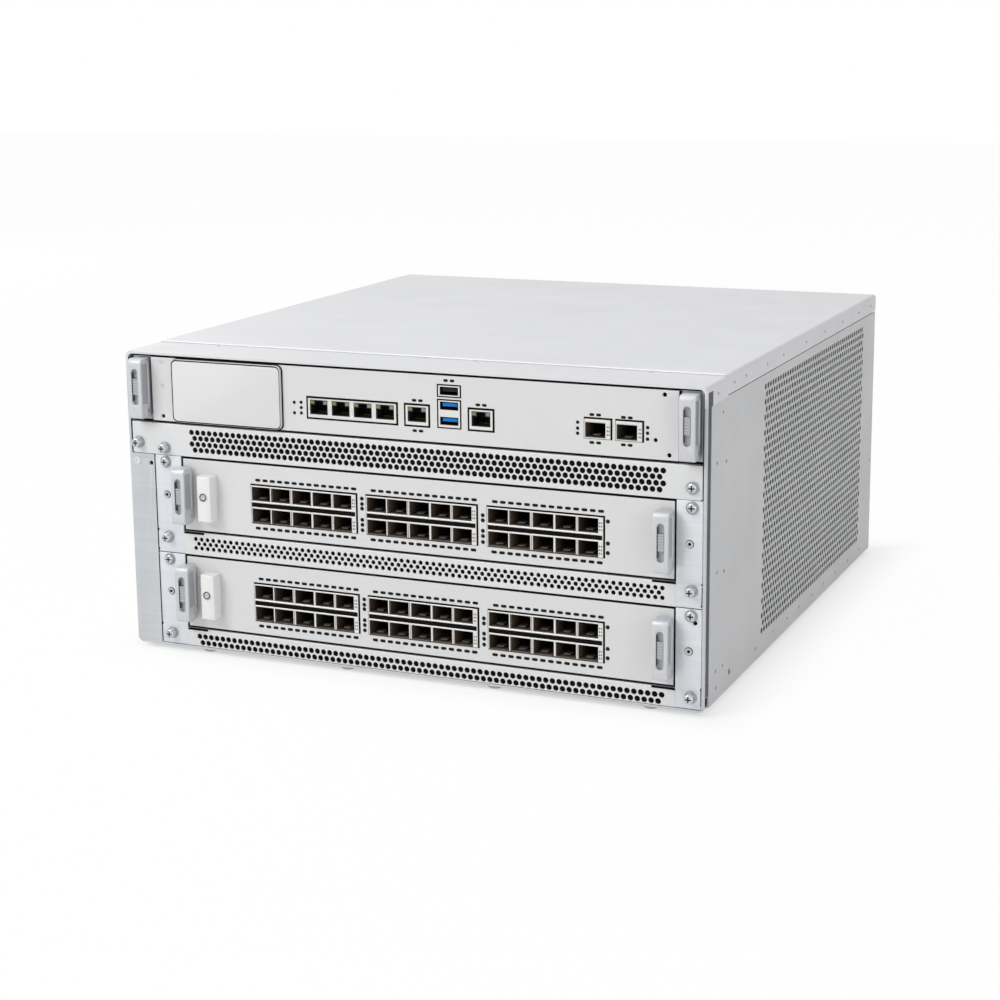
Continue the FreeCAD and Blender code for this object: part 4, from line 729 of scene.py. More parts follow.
def jamb_plates():
    """Beside the cards: each jamb and the strip's end below it in one plate, notched at its outer edge."""
    low, high = reach("cage_jambs")
    plates = []
    for x, notch_x in (((low.x, -177.8), low.x), ((200.5, high.x), high.x)):
        for z in ((5.4, 74.5), (75.1, 147.9)):
            plate = block("plate", (x[0], low.y, z[0]), (x[1], high.y, z[1]))
            tools = [round_bar("notch", Y, 0.9, (notch_x, low.y, PAN + up), 6, 12) for up in JAMB_NOTCHES
                     if z[0] < PAN + up < z[1]]
            if x[0] > 0 and z[0] < 70:
                tools.append(round_bar("hole", Y, 1.5, (221.0 - 7.0, low.y, 65.0), 6, 18))
            cut_out(plate, *tools)
            plates.append(soften(plate, 0.25, 2, 50))
    settle(joined("jamb_plates", plates), "chassis", "bezel_zinc", JAMB_ZINC, ["cage_jambs", "intake_ears"])


def window(box, margins):
    """A shell's box grown by margins at the left, right, bottom and top."""
    return (box[0] - margins[0], box[1] + margins[1], box[2] - margins[2], box[3] + margins[3])


def panel_sheet(name, x, z, y, windows, holes):
    """A panel with windows and small round holes, its edges softened and its upper edge rounded."""
    sheet = block(name, (x[0], y[0], z[0]), (x[1], y[1], z[1]))
    bevelled(sheet, every(lies_at(Y, y[0]), lies_at(Z, z[1])), 0.6, 2)
    tools = [block("window", (w[0], y[0] - 3, w[2]), (w[1], y[1] + 3, w[3])) for w in windows]
    tools += [round_bar("hole", Y, radius, (across, y[0], up), 12, 18) for across, up, radius in holes]
    cut_out(sheet, *tools)
    return soften(sheet, 0.22, 2, 50)


def shade_frames(name, body, boxes, y):
    """Black frames of painted shade that fill the line between a panel's windows and the shells in them."""
    frames = [frame_of("shade_frame", window(box, margins), window(box, (0.12,) * 4), y) for box, margins in boxes]
    settle(joined(name, frames), body, "rail_plastic", SHADE_BLACK)


# widths of the painted shade lines round each shell: left, right, bottom and top
JACK_LINE, USB_LINE, CAGE_LINE = (1.35,) * 4, (1.1, 0.9, 0.9, 0.9), (0.35, 1.3, 0.35, 1.2)
SHELL_Z = 184.3
CONTROL_SHELLS = (
    [((a, b, SHELL_Z, SHELL_Z + 13.6), JACK_LINE) for a, b in ((-71.6, -2.81), (4.5, 21.6), (52.5, 69.6))]
    + [((29.4, 45.5, SHELL_Z, SHELL_Z + 18.5), USB_LINE),
       ((29.4, 45.5, SHELL_Z + 21.6, SHELL_Z + 28.8), USB_LINE)]
    + [((a, a + 18.4, SHELL_Z, SHELL_Z + 13.0), CAGE_LINE) for a in (135.8, 157.9)])
CONTROL_HOLES = ((29.4, 173.3, 1.5), (412.6, 213.3, 1.5), (406.5, 182.7, 1.4), (416.0, 173.3, 1.5))


def control_panel():
    """The control module's panel in one sheet, the plates behind its levers, and the black lines of painted
    shade round it.
    """
    low, high = reach("supervisor_panel")
    z = (low.z + 0.3, high.z - 0.6)
    face, back = low.y, low.y + 1.5
    wing, wing_back = face + 3.0, face + 4.5
    left, right = -200.2, 201.3
    holes = [(LEFT_EDGE + x, PAN + up, radius) for x, up, radius in CONTROL_HOLES]
    sheet = panel_sheet("control_panel", (left, right), z, (face, back),
                        [window(box, margins) for box, margins in CONTROL_SHELLS], holes)
    turns = [block("turn", (left, back, z[0]), (left + 1.5, wing_back, z[1])),
             block("turn", (right - 1.5, back, z[0]), (right, wing_back, z[1]))]
    settle(joined("control_panel", [sheet] + turns), "supervisor", "panel_grey", PANEL_PAINT,
           ["supervisor_panel"], 20)
    wings = []
    for x in ((low.x, left), (right, high.x)):
        plate = block("wing", (x[0], wing, z[0]), (x[1], wing_back, z[1]))
        sunk(plate, 1.2, 0.25)
        wings.append(soften(plate, 0.2, 2, 50))
    settle(joined("lever_plates", wings), "supervisor", "bezel_zinc", BEZEL_ZINC, ["supervisor_panel"])
    shade_frames("control_shade_frames", "supervisor", CONTROL_SHELLS, (face - 0.03, face + 1.4))
    # painted shade: a black ring and bars in the gaps round the panel
    ring = frame_of("ring", (-218.1, 218.1, 172.05, 221.55), (low.x, high.x, z[0], z[1]),
                    (wing + 0.1, wing_back))
    bars = [block("bar", (left + 0.3, face + 0.15, 172.05), (right - 0.3, wing + 0.1, z[0])),
            block("bar", (left + 0.3, face + 0.15, z[1]), (right - 0.3, wing + 0.1, 221.55)),
            block("bar", (left - 1.0, face + 0.8, z[0] + 0.2), (left, wing, z[1] - 0.2)),
            block("bar", (right, face + 0.8, z[0] + 0.2), (right + 1.0, wing, z[1] - 0.2))]
    for bar in bars:
        bevelled(bar, lambda edge: True, 0.15, 1)
    settle(joined("control_seal", [ring] + bars), "supervisor", "rail_plastic", SHADE_BLACK)


def spare_bay_plate():
    """The raised cover of the spare bay: a plate, a dark sheet of painted shade and a face sheet, so a thin
    painted shade line shows round it, and a black painted shadow behind.
    """
    low, high = reach("blank_cover")
    deep = high.y - low.y
    # name, margins left, right, bottom and top, depth before and behind the cover's face, corner radius
    layers = (("spare_bay_plate", (0.0, 1.3, 0.0, 0.0), (0.4, deep), 4.0, PLATE_PAINT, "cover_plate"),
              ("spare_bay_shade_line", (0.25, 1.5, 0.25, 0.25), (0.2, 0.4), 3.8, SHADE_BLACK, "rail_plastic"),
              ("spare_bay_face", (1.15, 1.8, 1.1, 1.1), (0.0, 0.2), 3.3, PLATE_PAINT, "cover_plate"))
    for name, (left, right, foot, head), (front, back), corner, paint, slot in layers:
        layer = block(name, (low.x + left, low.y + front, low.z + foot),
                      (high.x - right, low.y + back, high.z - head))
        bevelled(layer, runs(Y), corner, 6)
        bevelled(layer, lies_at(Y, low.y + front), 0.15, 2)
        settle(layer, "supervisor", slot, paint, ["blank_cover"] if slot == "cover_plate" else [])
    # painted shadow: a black sheet behind the plate, a little larger than it
    shadow = block("spare_bay_shadow", (low.x - 0.5, high.y - 0.45, low.z - 0.5),
                   (high.x - 0.4, high.y, high.z + 0.5))
    bevelled(shadow, runs(Y), 4.2, 6)
    bevelled(shadow, lies_at(Y, high.y - 0.45), 0.12, 1)
    settle(shadow, "supervisor", "rail_plastic", SHADE_BLACK)


GROUP_PITCH = 92.5
CARD_GROUPS = [(-120.2 + GROUP_PITCH * g, -120.2 + GROUP_PITCH * g + 84.4) for g in range(3)]


def card_panels():
    """Each line card's panel with its three windows, the black lines of painted shade round the cages and
    round the card.
    """
    for card in ("card_1", "card_2"):
        low, high = reach(card + "_panel")
        cage_low, cage_high = reach(card + "_cages")
        shells = [((a, b, cage_low.z, cage_high.z), CAGE_LINE) for a, b in CARD_GROUPS]
        x, z = (low.x + 0.3, high.x - 0.3), (low.z + 0.3, high.z - 0.3)
        sheet = panel_sheet(card + "_sheet", x, z, (low.y, high.y),
                            [window(box, margins) for box, margins in shells], [])
        settle(sheet, card, "panel_grey", PANEL_PAINT, [card + "_panel"], 20)
        shade_frames(card + "_shade_frames", card, shells, (low.y - 0.03, low.y + 1.4))
        # painted shade: a black frame in the gap round the card's panel
        shade_border = frame_of("shade_border", (low.x - 0.95, high.x + 0.95, low.z - 0.95, high.z + 0.95), (*x, *z),
                        (low.y + 0.15, low.y + 2.6))
        settle(soften(shade_border, 0.12, 1), card, "rail_plastic", SHADE_BLACK).name = card + "_seal"


# Levers and latches, modelled about the pivot and copied to the six levers


LEVER_FRONT, LEVER_BACK, LEVER_FOOT, THUMB_DROP = -7.8, 4.4, -5, 20.5


def lever_form(rise):
    """A cast lever about its pivot: rounded body, sunk sides, thumb slot, channel at the back."""
    lever = block("lever", (-5.5, LEVER_FRONT, LEVER_FOOT), (5.5, LEVER_BACK, rise))
    bevelled(lever, every(lies_at(Y, LEVER_FRONT), lies_at(Z, rise)), 3.4, 4)
    bevelled(lever, every(lies_at(Y, LEVER_BACK), lies_at(Z, LEVER_FOOT)), 3.0, 3)
    bevelled(lever, every(lies_at(Y, LEVER_FRONT), lies_at(Z, LEVER_FOOT)), 1.5, 3)
    for sign in (-1, 1):
        panel = sided_block("panel", sign, (4.7, 9), (-5.8, 2.4), (5.5, rise - 4))
        cut_out(lever, bevelled(panel, runs(X), 1.2, 3))
    soften(lever, 0.55, 2, 35)
    middle = rise - THUMB_DROP
    slot = block("slot", (-2.6, -12, middle - 13.25), (2.6, -3.5, middle + 13.25))
    cut_out(lever, bevelled(slot, runs(Y), 2.5, 5))
    bevelled(lever, every(lies_at(Y, LEVER_FRONT), within(X, -2.65, 2.65),
                          within(Z, middle - 13.3, middle + 13.3)), 0.3, 2)
    return cut_out(lever, block("channel", (-3, -4.8, -9), (3, 9, rise - 5)))


def latch_form(rise):
    """A thumb slide with grip ridges on the plate that shows through the lever's slot."""
    middle = rise - THUMB_DROP
    plate = block("plate", (-2.8, -4.7, 0.6), (2.8, -3.95, rise - 5.6))
    bevelled(plate, lies_at(Y, -4.7), 0.2, 1)
    back = block("back", (-2.8, -3.95, middle - 9), (2.8, -3.2, middle + 9))
    thumb = block("thumb", (-2.2, -6.7, middle - 6), (2.2, -4.7, middle + 6))
    slices(thumb, Z, *[middle - 5 + k for k in range(11)])
    pick(thumb, "FACE", every(looks(Y, -1), alternate(Z, middle - 4.5, 1)))
    extrude(y=-0.45)
    shut()
    return joined("latch", [plate, back, soften(thumb, 0.12, 1)])


def slot_shade_edge(rise):
    """Painted shade: a dark strip along the left wall of a lever's thumb slot."""
    middle = rise - THUMB_DROP
    edge = block("edge", (-2.66, -7.3, middle - 10.6), (-2.3, -4.9, middle + 10.6))
    return bevelled(edge, every(runs(X), lies_at(Y, -7.3)), 0.8, 3)


def side_shade_inlays(rise):
    """Painted shade: darker bottoms of the sunk panels in a lever's two sides, for the shade on the sides."""
    inlays = []
    for sign in (-1, 1):
        inlay = sided_block("inlay", sign, (4.66, 4.76), (-5.3, 1.9), (6.0, rise - 4.5))
        inlays.append(bevelled(inlay, runs(X), 1.0, 3))
    return joined("inlays", inlays)


def lever_sets():
    """Each lever with its pin and latch, at the pivots of the three modules."""
    pin = round_bar("pin", X, 1.5, (0, 0, 0), 11.5, 20)
    bevelled(pin, lambda edge: edge.is_manifold and not runs(X)(edge), 0.25, 2)
    for modules, rise in ((("supervisor",), 38.8), (("card_1", "card_2"), 36.0)):
        lever, latch = lever_form(rise), latch_form(rise)
        edge, inlays = slot_shade_edge(rise), side_shade_inlays(rise)
        for node in [f"{module}_lever_{side}" for module in modules for side in ("left", "right")]:
            low, high = reach(node)
            pivot = ((low.x + high.x) / 2, low.y - LEVER_FRONT, low.z - LEVER_FOOT)
            settle(twin(lever, pivot), node, "lever_cast", LEVER_CAST, [node]).name = node + "_cast"
            settle(twin(pin, pivot), node, "screw_zinc", SCREW_ZINC).name = node + "_pin"
            # painted shade on each lever: a dark strip in the thumb slot and darker bottoms in the sunk sides
            settle(twin(edge, pivot), node, "lever_cast", SHADE_GREY).name = node + "_slot_shade_edge"
            settle(twin(inlays, pivot), node, "lever_cast", LATCH_AND_SHADE_GREY).name = node + "_shade_inlays"
            catch = node.replace("lever", "latch")
            settle(twin(latch, pivot), catch, "latch_grey", LATCH_AND_SHADE_GREY, [catch]).name = catch + "_ridged"
        for form in (lever, latch, edge, inlays):
            bpy.data.objects.remove(form)
    bpy.data.objects.remove(pin)


# Ports


JACK_X = [-71.6 + 1.55 + 17.23 * k for k in range(4)] + [4.5 + 1.55, 52.5 + 1.55]


def network_jacks():
    """Inside each jack: a black liner with a stepped opening, two lamps above and eight contacts."""
    low = reach("rj45_shields")[0]
    places = [(x, low.y, low.z + 2.2) for x in JACK_X]
    liner = block("liner", (0.05, 0.5, 0.05), (13.95, 15.0, 10.35))
    slices(liner, X, 0.8, 3.9, 10.1, 13.2)
    slices(liner, Z, 0.5, 6.8, 9.6)
    body = every(within(X, 0.8, 13.2), within(Z, 0.5, 6.8))
    key = every(within(X, 3.9, 10.1), within(Z, 6.8, 9.6))
    pick(liner, "FACE", lambda face: face.normal.y < -0.9 and (body(face) or key(face)))
    extrude(y=11.5)
    shut()
    set_out("jack_liners", liner, places, "supervisor", "rail_plastic", BLACK_PLASTIC_AND_SHADE, smooth=20)
    lamp = block("lamp", (0.3, -0.1, 7.5), (3.4, 0.5, 9.9))
    pick(lamp, "FACE", looks(Y, -1))
    inset(0.4, 0.15)
    shut()
    set_out("jack_lamps_left", twin(lamp), places, "supervisor", "tongue_blue", LAMP_GREEN)
    right = [(x + 10.3, y, z) for x, y, z in places]
    set_out("jack_lamps_right", lamp, right, "supervisor", "tongue_blue", LAMP_PALE)
    blade = block("blade", (2.9, 6.0, 1.1), (3.3, 11.0, 1.4))
    pick(blade, "FACE", looks(Y, 1))
    shift(z=2.6)
    extrude(y=0.8, z=0.4)
    shut()
    blades = [(x + 1.12 * k, y, z) for x, y, z in places for k in range(8)]
    set_out("jack_contacts", blade, blades, "supervisor", "screw_zinc", CONTACT_GOLD)


USB_FLOORS = (SHELL_Z + 1.6, SHELL_Z + 12.1, SHELL_Z + 22.4)


def usb_ports():
    """A tongue with its contacts in each port: blue in the stack, black in the port above it."""
    low, high = reach("usb_tongues")
    tongue = block("tongue", (low.x, low.y, 2.2), (high.x, high.y, 4.7))
    bevelled(tongue, lies_at(Y, low.y), 0.3, 2)
    contact = block("contact", (low.x + 1.0, low.y + 0.4, 2.05), (low.x + 2.2, low.y + 8.0, 2.25))
    bevelled(contact, lies_at(Z, 2.05), 0.08, 1)
    pads = spread("usb_contacts", contact, [(3.0 * k, 0, floor) for floor in USB_FLOORS for k in range(4)])
    settle(pads, "supervisor", "screw_zinc", CONTACT_GOLD)
    stacked = spread("usb_tongues_blue", twin(tongue), [(0, 0, floor) for floor in USB_FLOORS[:2]])
    settle(stacked, "supervisor", "tongue_blue", TONGUE_BLUE, ["usb_tongues"])
    single = spread("usb_tongue_black", tongue, [(0, 0, USB_FLOORS[2])])
    settle(single, "supervisor", "rail_plastic", BLACK_PLASTIC_AND_SHADE, ["usb_tongues"])
    # painted shade: a black lining inside each port
    lining = block("lining", (30.65, -235.3, 0.05), (44.25, -222.9, 5.55))
    sunk(lining, 0.15, 11.8)
    set_out("usb_shade_linings", lining, [(0, 0, floor) for floor in USB_FLOORS], "supervisor", "rail_plastic",
            SHADE_BLACK)


PORT_WIDE, PORT_HIGH, PORT_PITCH, PORT_STEP = 14.4, 10.2, 16.5, 16.0
OPTIC_PITCH = 22.1


def card_ports(cages):
    """First corners of a card's thirty ports."""
    low = reach(cages)[0]
    return [(low.x + 0.6 + GROUP_PITCH * g + PORT_PITCH * n, low.y, low.z + 0.6 + PORT_STEP * r)
            for g in range(3) for n in range(5) for r in range(2)]


def optic_ports():
    """Linings of painted shade, latch tabs and host connectors of every pluggable port."""
    low = reach("supervisor_cages")[0]
    spots = {"supervisor": [(low.x + 0.6 + OPTIC_PITCH * k, low.y, low.z + 0.6) for k in range(2)]}
    for card in ("card_1", "card_2"):
        spots[card] = card_ports(card + "_cages")
    # painted shade: a dark lining inside each port
    lining = block("lining", (0.03, 0.8, 0.03), (PORT_WIDE - 0.03, 44.5, PORT_HIGH - 0.03))
    sunk(lining, 0.25, 43)
    tab = block("tab", (4.4, 4.0, 0.5), (10.0, 12.0, 0.9))
    pick(tab, "FACE", looks(Y, -1))
    shift(z=1.1)
    extrude(y=-1.4, z=-0.3)
    pick(tab, "EDGE", every(lies_at(Y, 2.6), runs(Z)))
    bevel(1.0, 3)
    shut()
    host = block("host", (2.2, 31.0, 2.6), (12.2, 43.0, 7.4))
    sunk(host, 1.1, 6)
    for body, places in spots.items():
        set_out(body + "_port_shade_linings", twin(lining), places, body, "rail_plastic", CAGE_SHADE)
        set_out(body + "_latch_tabs", twin(tab), places, body, "cage_nickel", TAB_STEEL)
        set_out(body + "_host_sockets", twin(host), places, body, "rail_plastic", BLACK_PLASTIC_AND_SHADE)
    for form in (lining, tab, host):
        bpy.data.objects.remove(form)


def plate_form(name, wide, high, proud):
    """A small plate on a cage's face, its rim bevelled."""
    plate = block(name, (0, -proud, 0), (wide, 0.05, high))
    return bevelled(plate, lies_at(Y, -proud), proud * 0.6, 1)


# painted shade strips on the four dividers of a cage: distance from the divider's left edge, and width
DIVIDER_STRIPS = (((0.0, 0.6), (1.5, 0.6)), ((0.0, 0.2), (0.85, 0.4)), ((0.0, 0.75),),
                  ((0.0, 0.45), (1.15, 0.3)))


def cage_fronts():
    """Spring fingers along the bars, and painted shade: in the gap between the rows, on the dividers, at the
    cages' feet and in the end walls' holes.
    """
    for card in ("card_1", "card_2"):
        low, high = reach(card + "_cages")
        face = low.y
        fingers, tops, lips, gaps, feet, pierced = [], [], [], [], [], []
        shade_strip_places = {}
        for g in range(3):
            left = low.x + GROUP_PITCH * g
            gaps.append((left + 0.4, face, low.z + 12.0))
            feet.append((left + 0.4, face, low.z))
            for n in range(5):
                x = left + 0.6 + PORT_PITCH * n
                for part in (-0.3, 7.5):
                    fingers.append((x + part, face, low.z + 15.3))
                    tops.append((x + part, face, high.z - 0.9))
                lips.append((x + 0.1, face, low.z + 10.85))
                for step, wide in DIVIDER_STRIPS[n - 1] if n else ():
                    shade_strip_places.setdefault(wide, []).extend((x - 2.1 + step, face, low.z + 0.6 + PORT_STEP * r)
                                                      for r in range(2))
            for up in (2.2, 4.6, 7.0, 18.4, 20.8, 23.2):
                pierced += [(left + 81.6 + step, face, low.z + up) for step in (0.0, 1.3)]
        set_out(card + "_spring_fingers", plate_form("finger", 7.3, 1.0, 0.3), fingers, card, "cage_nickel",
                CAGE_NICKEL)
        set_out(card + "_top_fingers", plate_form("top", 7.3, 0.85, 0.25), tops, card, "cage_nickel",
                CAGE_NICKEL)
        set_out(card + "_cage_lips", plate_form("lip", 14.2, 1.05, 0.2), lips, card, "cage_nickel",
                CAGE_NICKEL)
        # painted shade: dark strips on the dividers, in the gap between the rows, along the cages' feet and
        # for the end walls' holes
        strips = [spread("strip", plate_form("strip", wide, 10.2, 0.06), places)
                  for wide, places in shade_strip_places.items()]
        settle(joined(card + "_divider_shades", strips), card, "rail_plastic", SHADE_BLACK)
        set_out(card + "_row_gap_shades", plate_form("gap", 83.4, 3.2, 0.06), gaps, card, "rail_plastic", SHADE_BLACK)
        set_out(card + "_cage_foot_shades", plate_form("foot", 80.6, 0.6, 0.05), feet, card, "rail_plastic",
                CAGE_SHADE)
        set_out(card + "_end_hole_shades", plate_form("hole", 0.7, 1.2, 0.05), pierced, card, "rail_plastic",
                CAGE_SHADE)
    low, high = reach("supervisor_cages")
    tops = [(low.x + OPTIC_PITCH * k + 0.3 + part, low.y, high.z - 1.9) for k in range(2)
            for part in (0.0, 7.5)]
    set_out("optic_top_fingers", plate_form("top", 7.2, 1.6, 0.25), tops, "supervisor", "cage_nickel",
            CAGE_NICKEL)
    holes = [(low.x + OPTIC_PITCH * k + 16.0 + step, low.y, low.z + up) for k in range(2)
             for up in (2.4, 5.0, 7.6) for step in (0.0, 1.2)]
    set_out("optic_end_hole_shades", plate_form("hole", 0.7, 1.2, 0.05), holes, "supervisor", "rail_plastic",
            CAGE_SHADE)


# Light pipes: dots beside the ports and short bars above and below them, across from the left edge and up

CONTROL_DOTS = ((138.3, 190.5), (138.3, 183.0), (143.8, 190.9), (143.8, 187.1), (143.8, 183.2),
                (352.0, 191.0), (352.0, 187.0), (352.0, 183.5), (401.0, 190.7), (401.0, 187.0),
                (401.0, 183.0))
CARD_DOTS = ((190.0, (36.5, 32.6, 29.3, 21.2, 17.6, 13.7)), (282.5, (32.7, 29.1, 21.7, 18.0, 13.8)),
             (373.5, (36.4, 21.3, 14.7)))
CONTROL_BARS = ((234.4, 198.0), (282.2, 197.9), (258.4, 213.2), (364.5, 196.8), (386.6, 196.4),
                (234.5, 176.8), (364.5, 178.0), (386.6, 178.0))


BAR_START, BAR_PITCH, BARS_BELOW, BARS_ABOVE = 105.7, 5.93, 7.5, 43.0


def pipe_dot(radius):
    """A round light pipe that stands a little out of the panel."""
    dot = round_bar("dot", Y, radius, (0, -0.05, 0), 0.4, 14)
    return bevelled(dot, lies_at(Y, -0.25), 0.15, 2)


def pipe_bar(wide, high):
    """A short light pipe with rounded ends."""
    bar = block("bar", (-wide / 2, -0.12, -high / 2), (wide / 2, 0.1, high / 2))
    return bevelled(bar, runs(Y), high * 0.42, 2)


def light_pipes():
    """The light pipes of the control module, and those of each card in rows below and above its cages."""
    face = reach("supervisor_panel")[0].y
    set_out("control_light_dots", pipe_dot(1.2), front_places(CONTROL_DOTS, face), "supervisor",
            "rail_plastic", LAMP_DARK)
    pairs = [(x + step, z) for x, z in CONTROL_BARS for step in (-2.4, 2.4)]
    set_out("control_light_bars", pipe_bar(3.4, 1.9), front_places(pairs, face), "supervisor",
            "rail_plastic", LAMP_DARK)
    for card in ("card_1", "card_2"):
        cages = reach(card + "_cages")
        slot = cages[0].z - 11.1
        dots = [(LEFT_EDGE + x, face, slot + up) for x, ups in CARD_DOTS for up in ups]
        set_out(card + "_light_dots", pipe_dot(1.45), dots, card, "rail_plastic", LAMP_DARK)
        across = [LEFT_EDGE + BAR_START + GROUP_PITCH * g + BAR_PITCH * k
                  for g in range(3) for k in range(14)]
        below = [(x, face, slot + BARS_BELOW) for x in across]
        above = [(x + 0.9, face, slot + BARS_ABOVE) for x in across]
        set_out(card + "_light_bars", pipe_bar(4.2, 2.1), below, card, "rail_plastic", LAMP_DARK)
        set_out(card + "_light_bars_upper", pipe_bar(4.2, 2.0), above, card, "rail_plastic", LAMP_DARK)


# Screws, rivets and screw blocks


def recess_depth(length):
    """How deep the cross goes into a head."""
    return min(1.0, length * 0.5)


def screw_form(name, radius, length):
    """A pan-head screw looking to the front, its seat at the origin, with a cross recess."""
    head = round_bar(name, Y, radius, (0, -length / 2, 0), length, 24)
    bevelled(head, lies_at(Y, -length), min(1.0, length * 0.4), 3)
    floor = -length + recess_depth(length)
    for lean in (0, math.pi / 2):
        bar = block("bar", (-radius * 0.62, -length - 1, -0.5), (radius * 0.62, floor, 0.5))
        bevelled(bar, every(lies_at(Y, floor), runs(Z)), 0.3, 1)
        cut_out(head, turned(bar, Y, lean))
    return head


def cross_shade_form(radius, length):
    """Painted shade: a black insert at the bottom of a screw's cross recess."""
    bars = []
    for lean, deep in ((0, 0.25), (math.pi / 2, 0.27)):
        bar = block("bar", (-radius * 0.6, -length + deep, -0.47),
                    (radius * 0.6, -length + recess_depth(length) + 0.05, 0.47))
        bars.append(turned(bevelled(bar, runs(Y), 0.12, 1), Y, lean))
    return joined("cross", bars)


def washer_form(radius):
    """A washer under a screw's head, its seat at the origin."""
    washer = round_bar("washer", Y, radius, (0, -0.45, 0), 0.9, 28)
    return bevelled(washer, lies_at(Y, -0.9), 0.3, 2)


# places across and up from the left edge and the pan, for tall captive screws and low pan heads
TALL_SCREWS = ((8.3, 152.9), (30.3, 150.1), (30.3, 83.2), (432.4, 83.2), (30.3, 9.9), (432.4, 9.9))
LOW_SCREWS = ((432.4, 152.9), (30.3, 139.6), (432.4, 139.6), (30.3, 66.3), (432.4, 66.3))
FRONT_RIVETS = ((30.3, 115.0), (30.3, 41.7), (430.8, 115.0), (430.8, 41.7))
SMALL_RIVETS = ((29.5, 196.0), (29.0, 213.6))


def rivet_form(radius):
    """A rivet with a dished middle and a raised stem."""
    rivet = round_bar("rivet", Y, radius, (0, -0.3, 0), 0.6, 24)
    pick(rivet, "FACE", looks(Y, -1))
    inset(radius * 0.36)
    extrude(y=0.45)
    inset(radius * 0.2)
    extrude(y=-0.25)
    shut()
    return rivet


def front_fasteners():
    """Captive screws with washers and painted shade in their crosses, and the rivets of the front with
    painted shade in their middles.
    """
    face = reach("upper_intake")[0].y
    heads, cross_shades = [], []
    for spots, length in ((TALL_SCREWS, 5.9), (LOW_SCREWS, 2.8)):
        heads.append(spread("heads", screw_form("head", 3.4, length), front_places(spots, face)))
        cross_shades.append(spread("cross_shades", cross_shade_form(3.4, length), front_places(spots, face)))
    settle(joined("captive_screws", heads), "chassis", "screw_zinc", SCREW_ZINC, ["front_screws"])
    settle(joined("screw_cross_shades", cross_shades), "chassis", "rail_plastic", BLACK_PLASTIC_AND_SHADE)
    # painted shade: darker washers give the shaded ring round each screw head
    washers = spread("screw_washers", washer_form(4.4), front_places(TALL_SCREWS + LOW_SCREWS, face))
    settle(washers, "chassis", "screw_zinc", WASHER_SHADE_ZINC, ["front_screws"])
    set_out("front_rivets", rivet_form(2.5), front_places(FRONT_RIVETS, face), "chassis", "screw_zinc",
            SCREW_ZINC, ["rivets"])
    # painted shade: a black stem in each rivet's middle and a black collar round it
    stem = round_bar("stem", Y, 1.05, (0, -0.35, 0), 0.3, 16)
    bevelled(stem, lies_at(Y, -0.5), 0.1, 1)
    collar = round_bar("collar", Y, 2.9, (0, -0.06, 0), 0.16, 24)
    bevelled(collar, lies_at(Y, -0.14), 0.05, 1)
    set_out("rivet_shade_marks", joined("stem", [stem, collar]), front_places(FRONT_RIVETS, face), "chassis",
            "rail_plastic", SHADE_BLACK)
    panel = reach("supervisor_panel")[0].y
    set_out("panel_rivets", rivet_form(1.5), front_places(SMALL_RIVETS, panel), "supervisor", "screw_zinc",
            PANEL_PAINT)
    insert = rivet_form(2.6)
    set_out("column_insert", insert, front_places(((6.6, 138.9),), FRONT), "chassis", "screw_zinc", JAMB_ZINC)


def screw_blocks():
    """The white moulded block beside each card's left lever, and its captive screw in a ring with a black
    ring of painted shade round it.
    """
    for card in ("card_1", "card_2"):
        low, high = reach(card + "_screw_block")
        form = block(card + "_block", tuple(low), tuple(high))
        bevelled(form, every(lies_at(Y, low.y), runs(Z)), 2.4, 2)
        bevelled(form, every(lies_at(Y, low.y), runs(X)), 1.8, 2)
        soften(form, 0.5, 3, 30)
        settle(form, card, "block_white", BLOCK_WHITE, [card + "_screw_block"], 40)
        low, high = reach(card + "_block_screw")
        middle = ((low.x + high.x) / 2, high.y, (low.z + high.z) / 2)
        ring = round_bar("ring", Y, 3.2, (0, -0.3, 0), 0.6, 28)
        sunk(ring, 0.4, 0.5)
        screw = screw_form("screw", 2.05, 0.75)
        # painted shade: a black disc behind the ring so a dark ring shows round the screw
        well = round_bar(card + "_block_well_shade", Y, 2.78, (0, -0.15, 0), 0.14, 24)
        bevelled(well, lies_at(Y, -0.22), 0.04, 1)
        set_out(card + "_block_well_shade", well, [middle], card, "rail_plastic", BLACK_PLASTIC_AND_SHADE)
        set_out(card + "_block_head", joined("head", [ring, screw]), [middle], card, "screw_zinc",
                SCREW_ZINC, [card + "_block_screw"])


def domed_feet():
    """Eight round feet under the pan."""
    low, high = reach("feet")
    foot = round_bar("foot", Z, 6.0, (0, 0, 1.75), 3.5, 32)
    bevelled(foot, lies_at(Z, 0.0), 2.4, 5)
    across = [-164.0 + 115.0 * k for k in range(4)]
    places = [(x, y, 0) for x in across for y in (low.y + 6.0, high.y - 6.0)]
    set_out("domed_feet", foot, places, "chassis", "foot_rubber", FOOT_RUBBER, ["feet"])


def seam_screws():
    """Four slotted screws along the seam of the cover."""
    low, high = reach("cover_screws")
    head = round_bar("head", Z, 1.6, (0, 0, 0.2), 0.4, 20)
    bevelled(head, lies_at(Z, 0.4), 0.15, 2)
    cut_out(head, block("slot", (-1.0, -0.25, 0.2), (1.0, 0.25, 2)))
    places = [(x, (low.y + high.y) / 2, low.z) for x in (-168.0, 0.0, 39.0, 168.0)]
    set_out("seam_screw_heads", head, places, "chassis", "screw_zinc", SCREW_ZINC, ["cover_screws"])


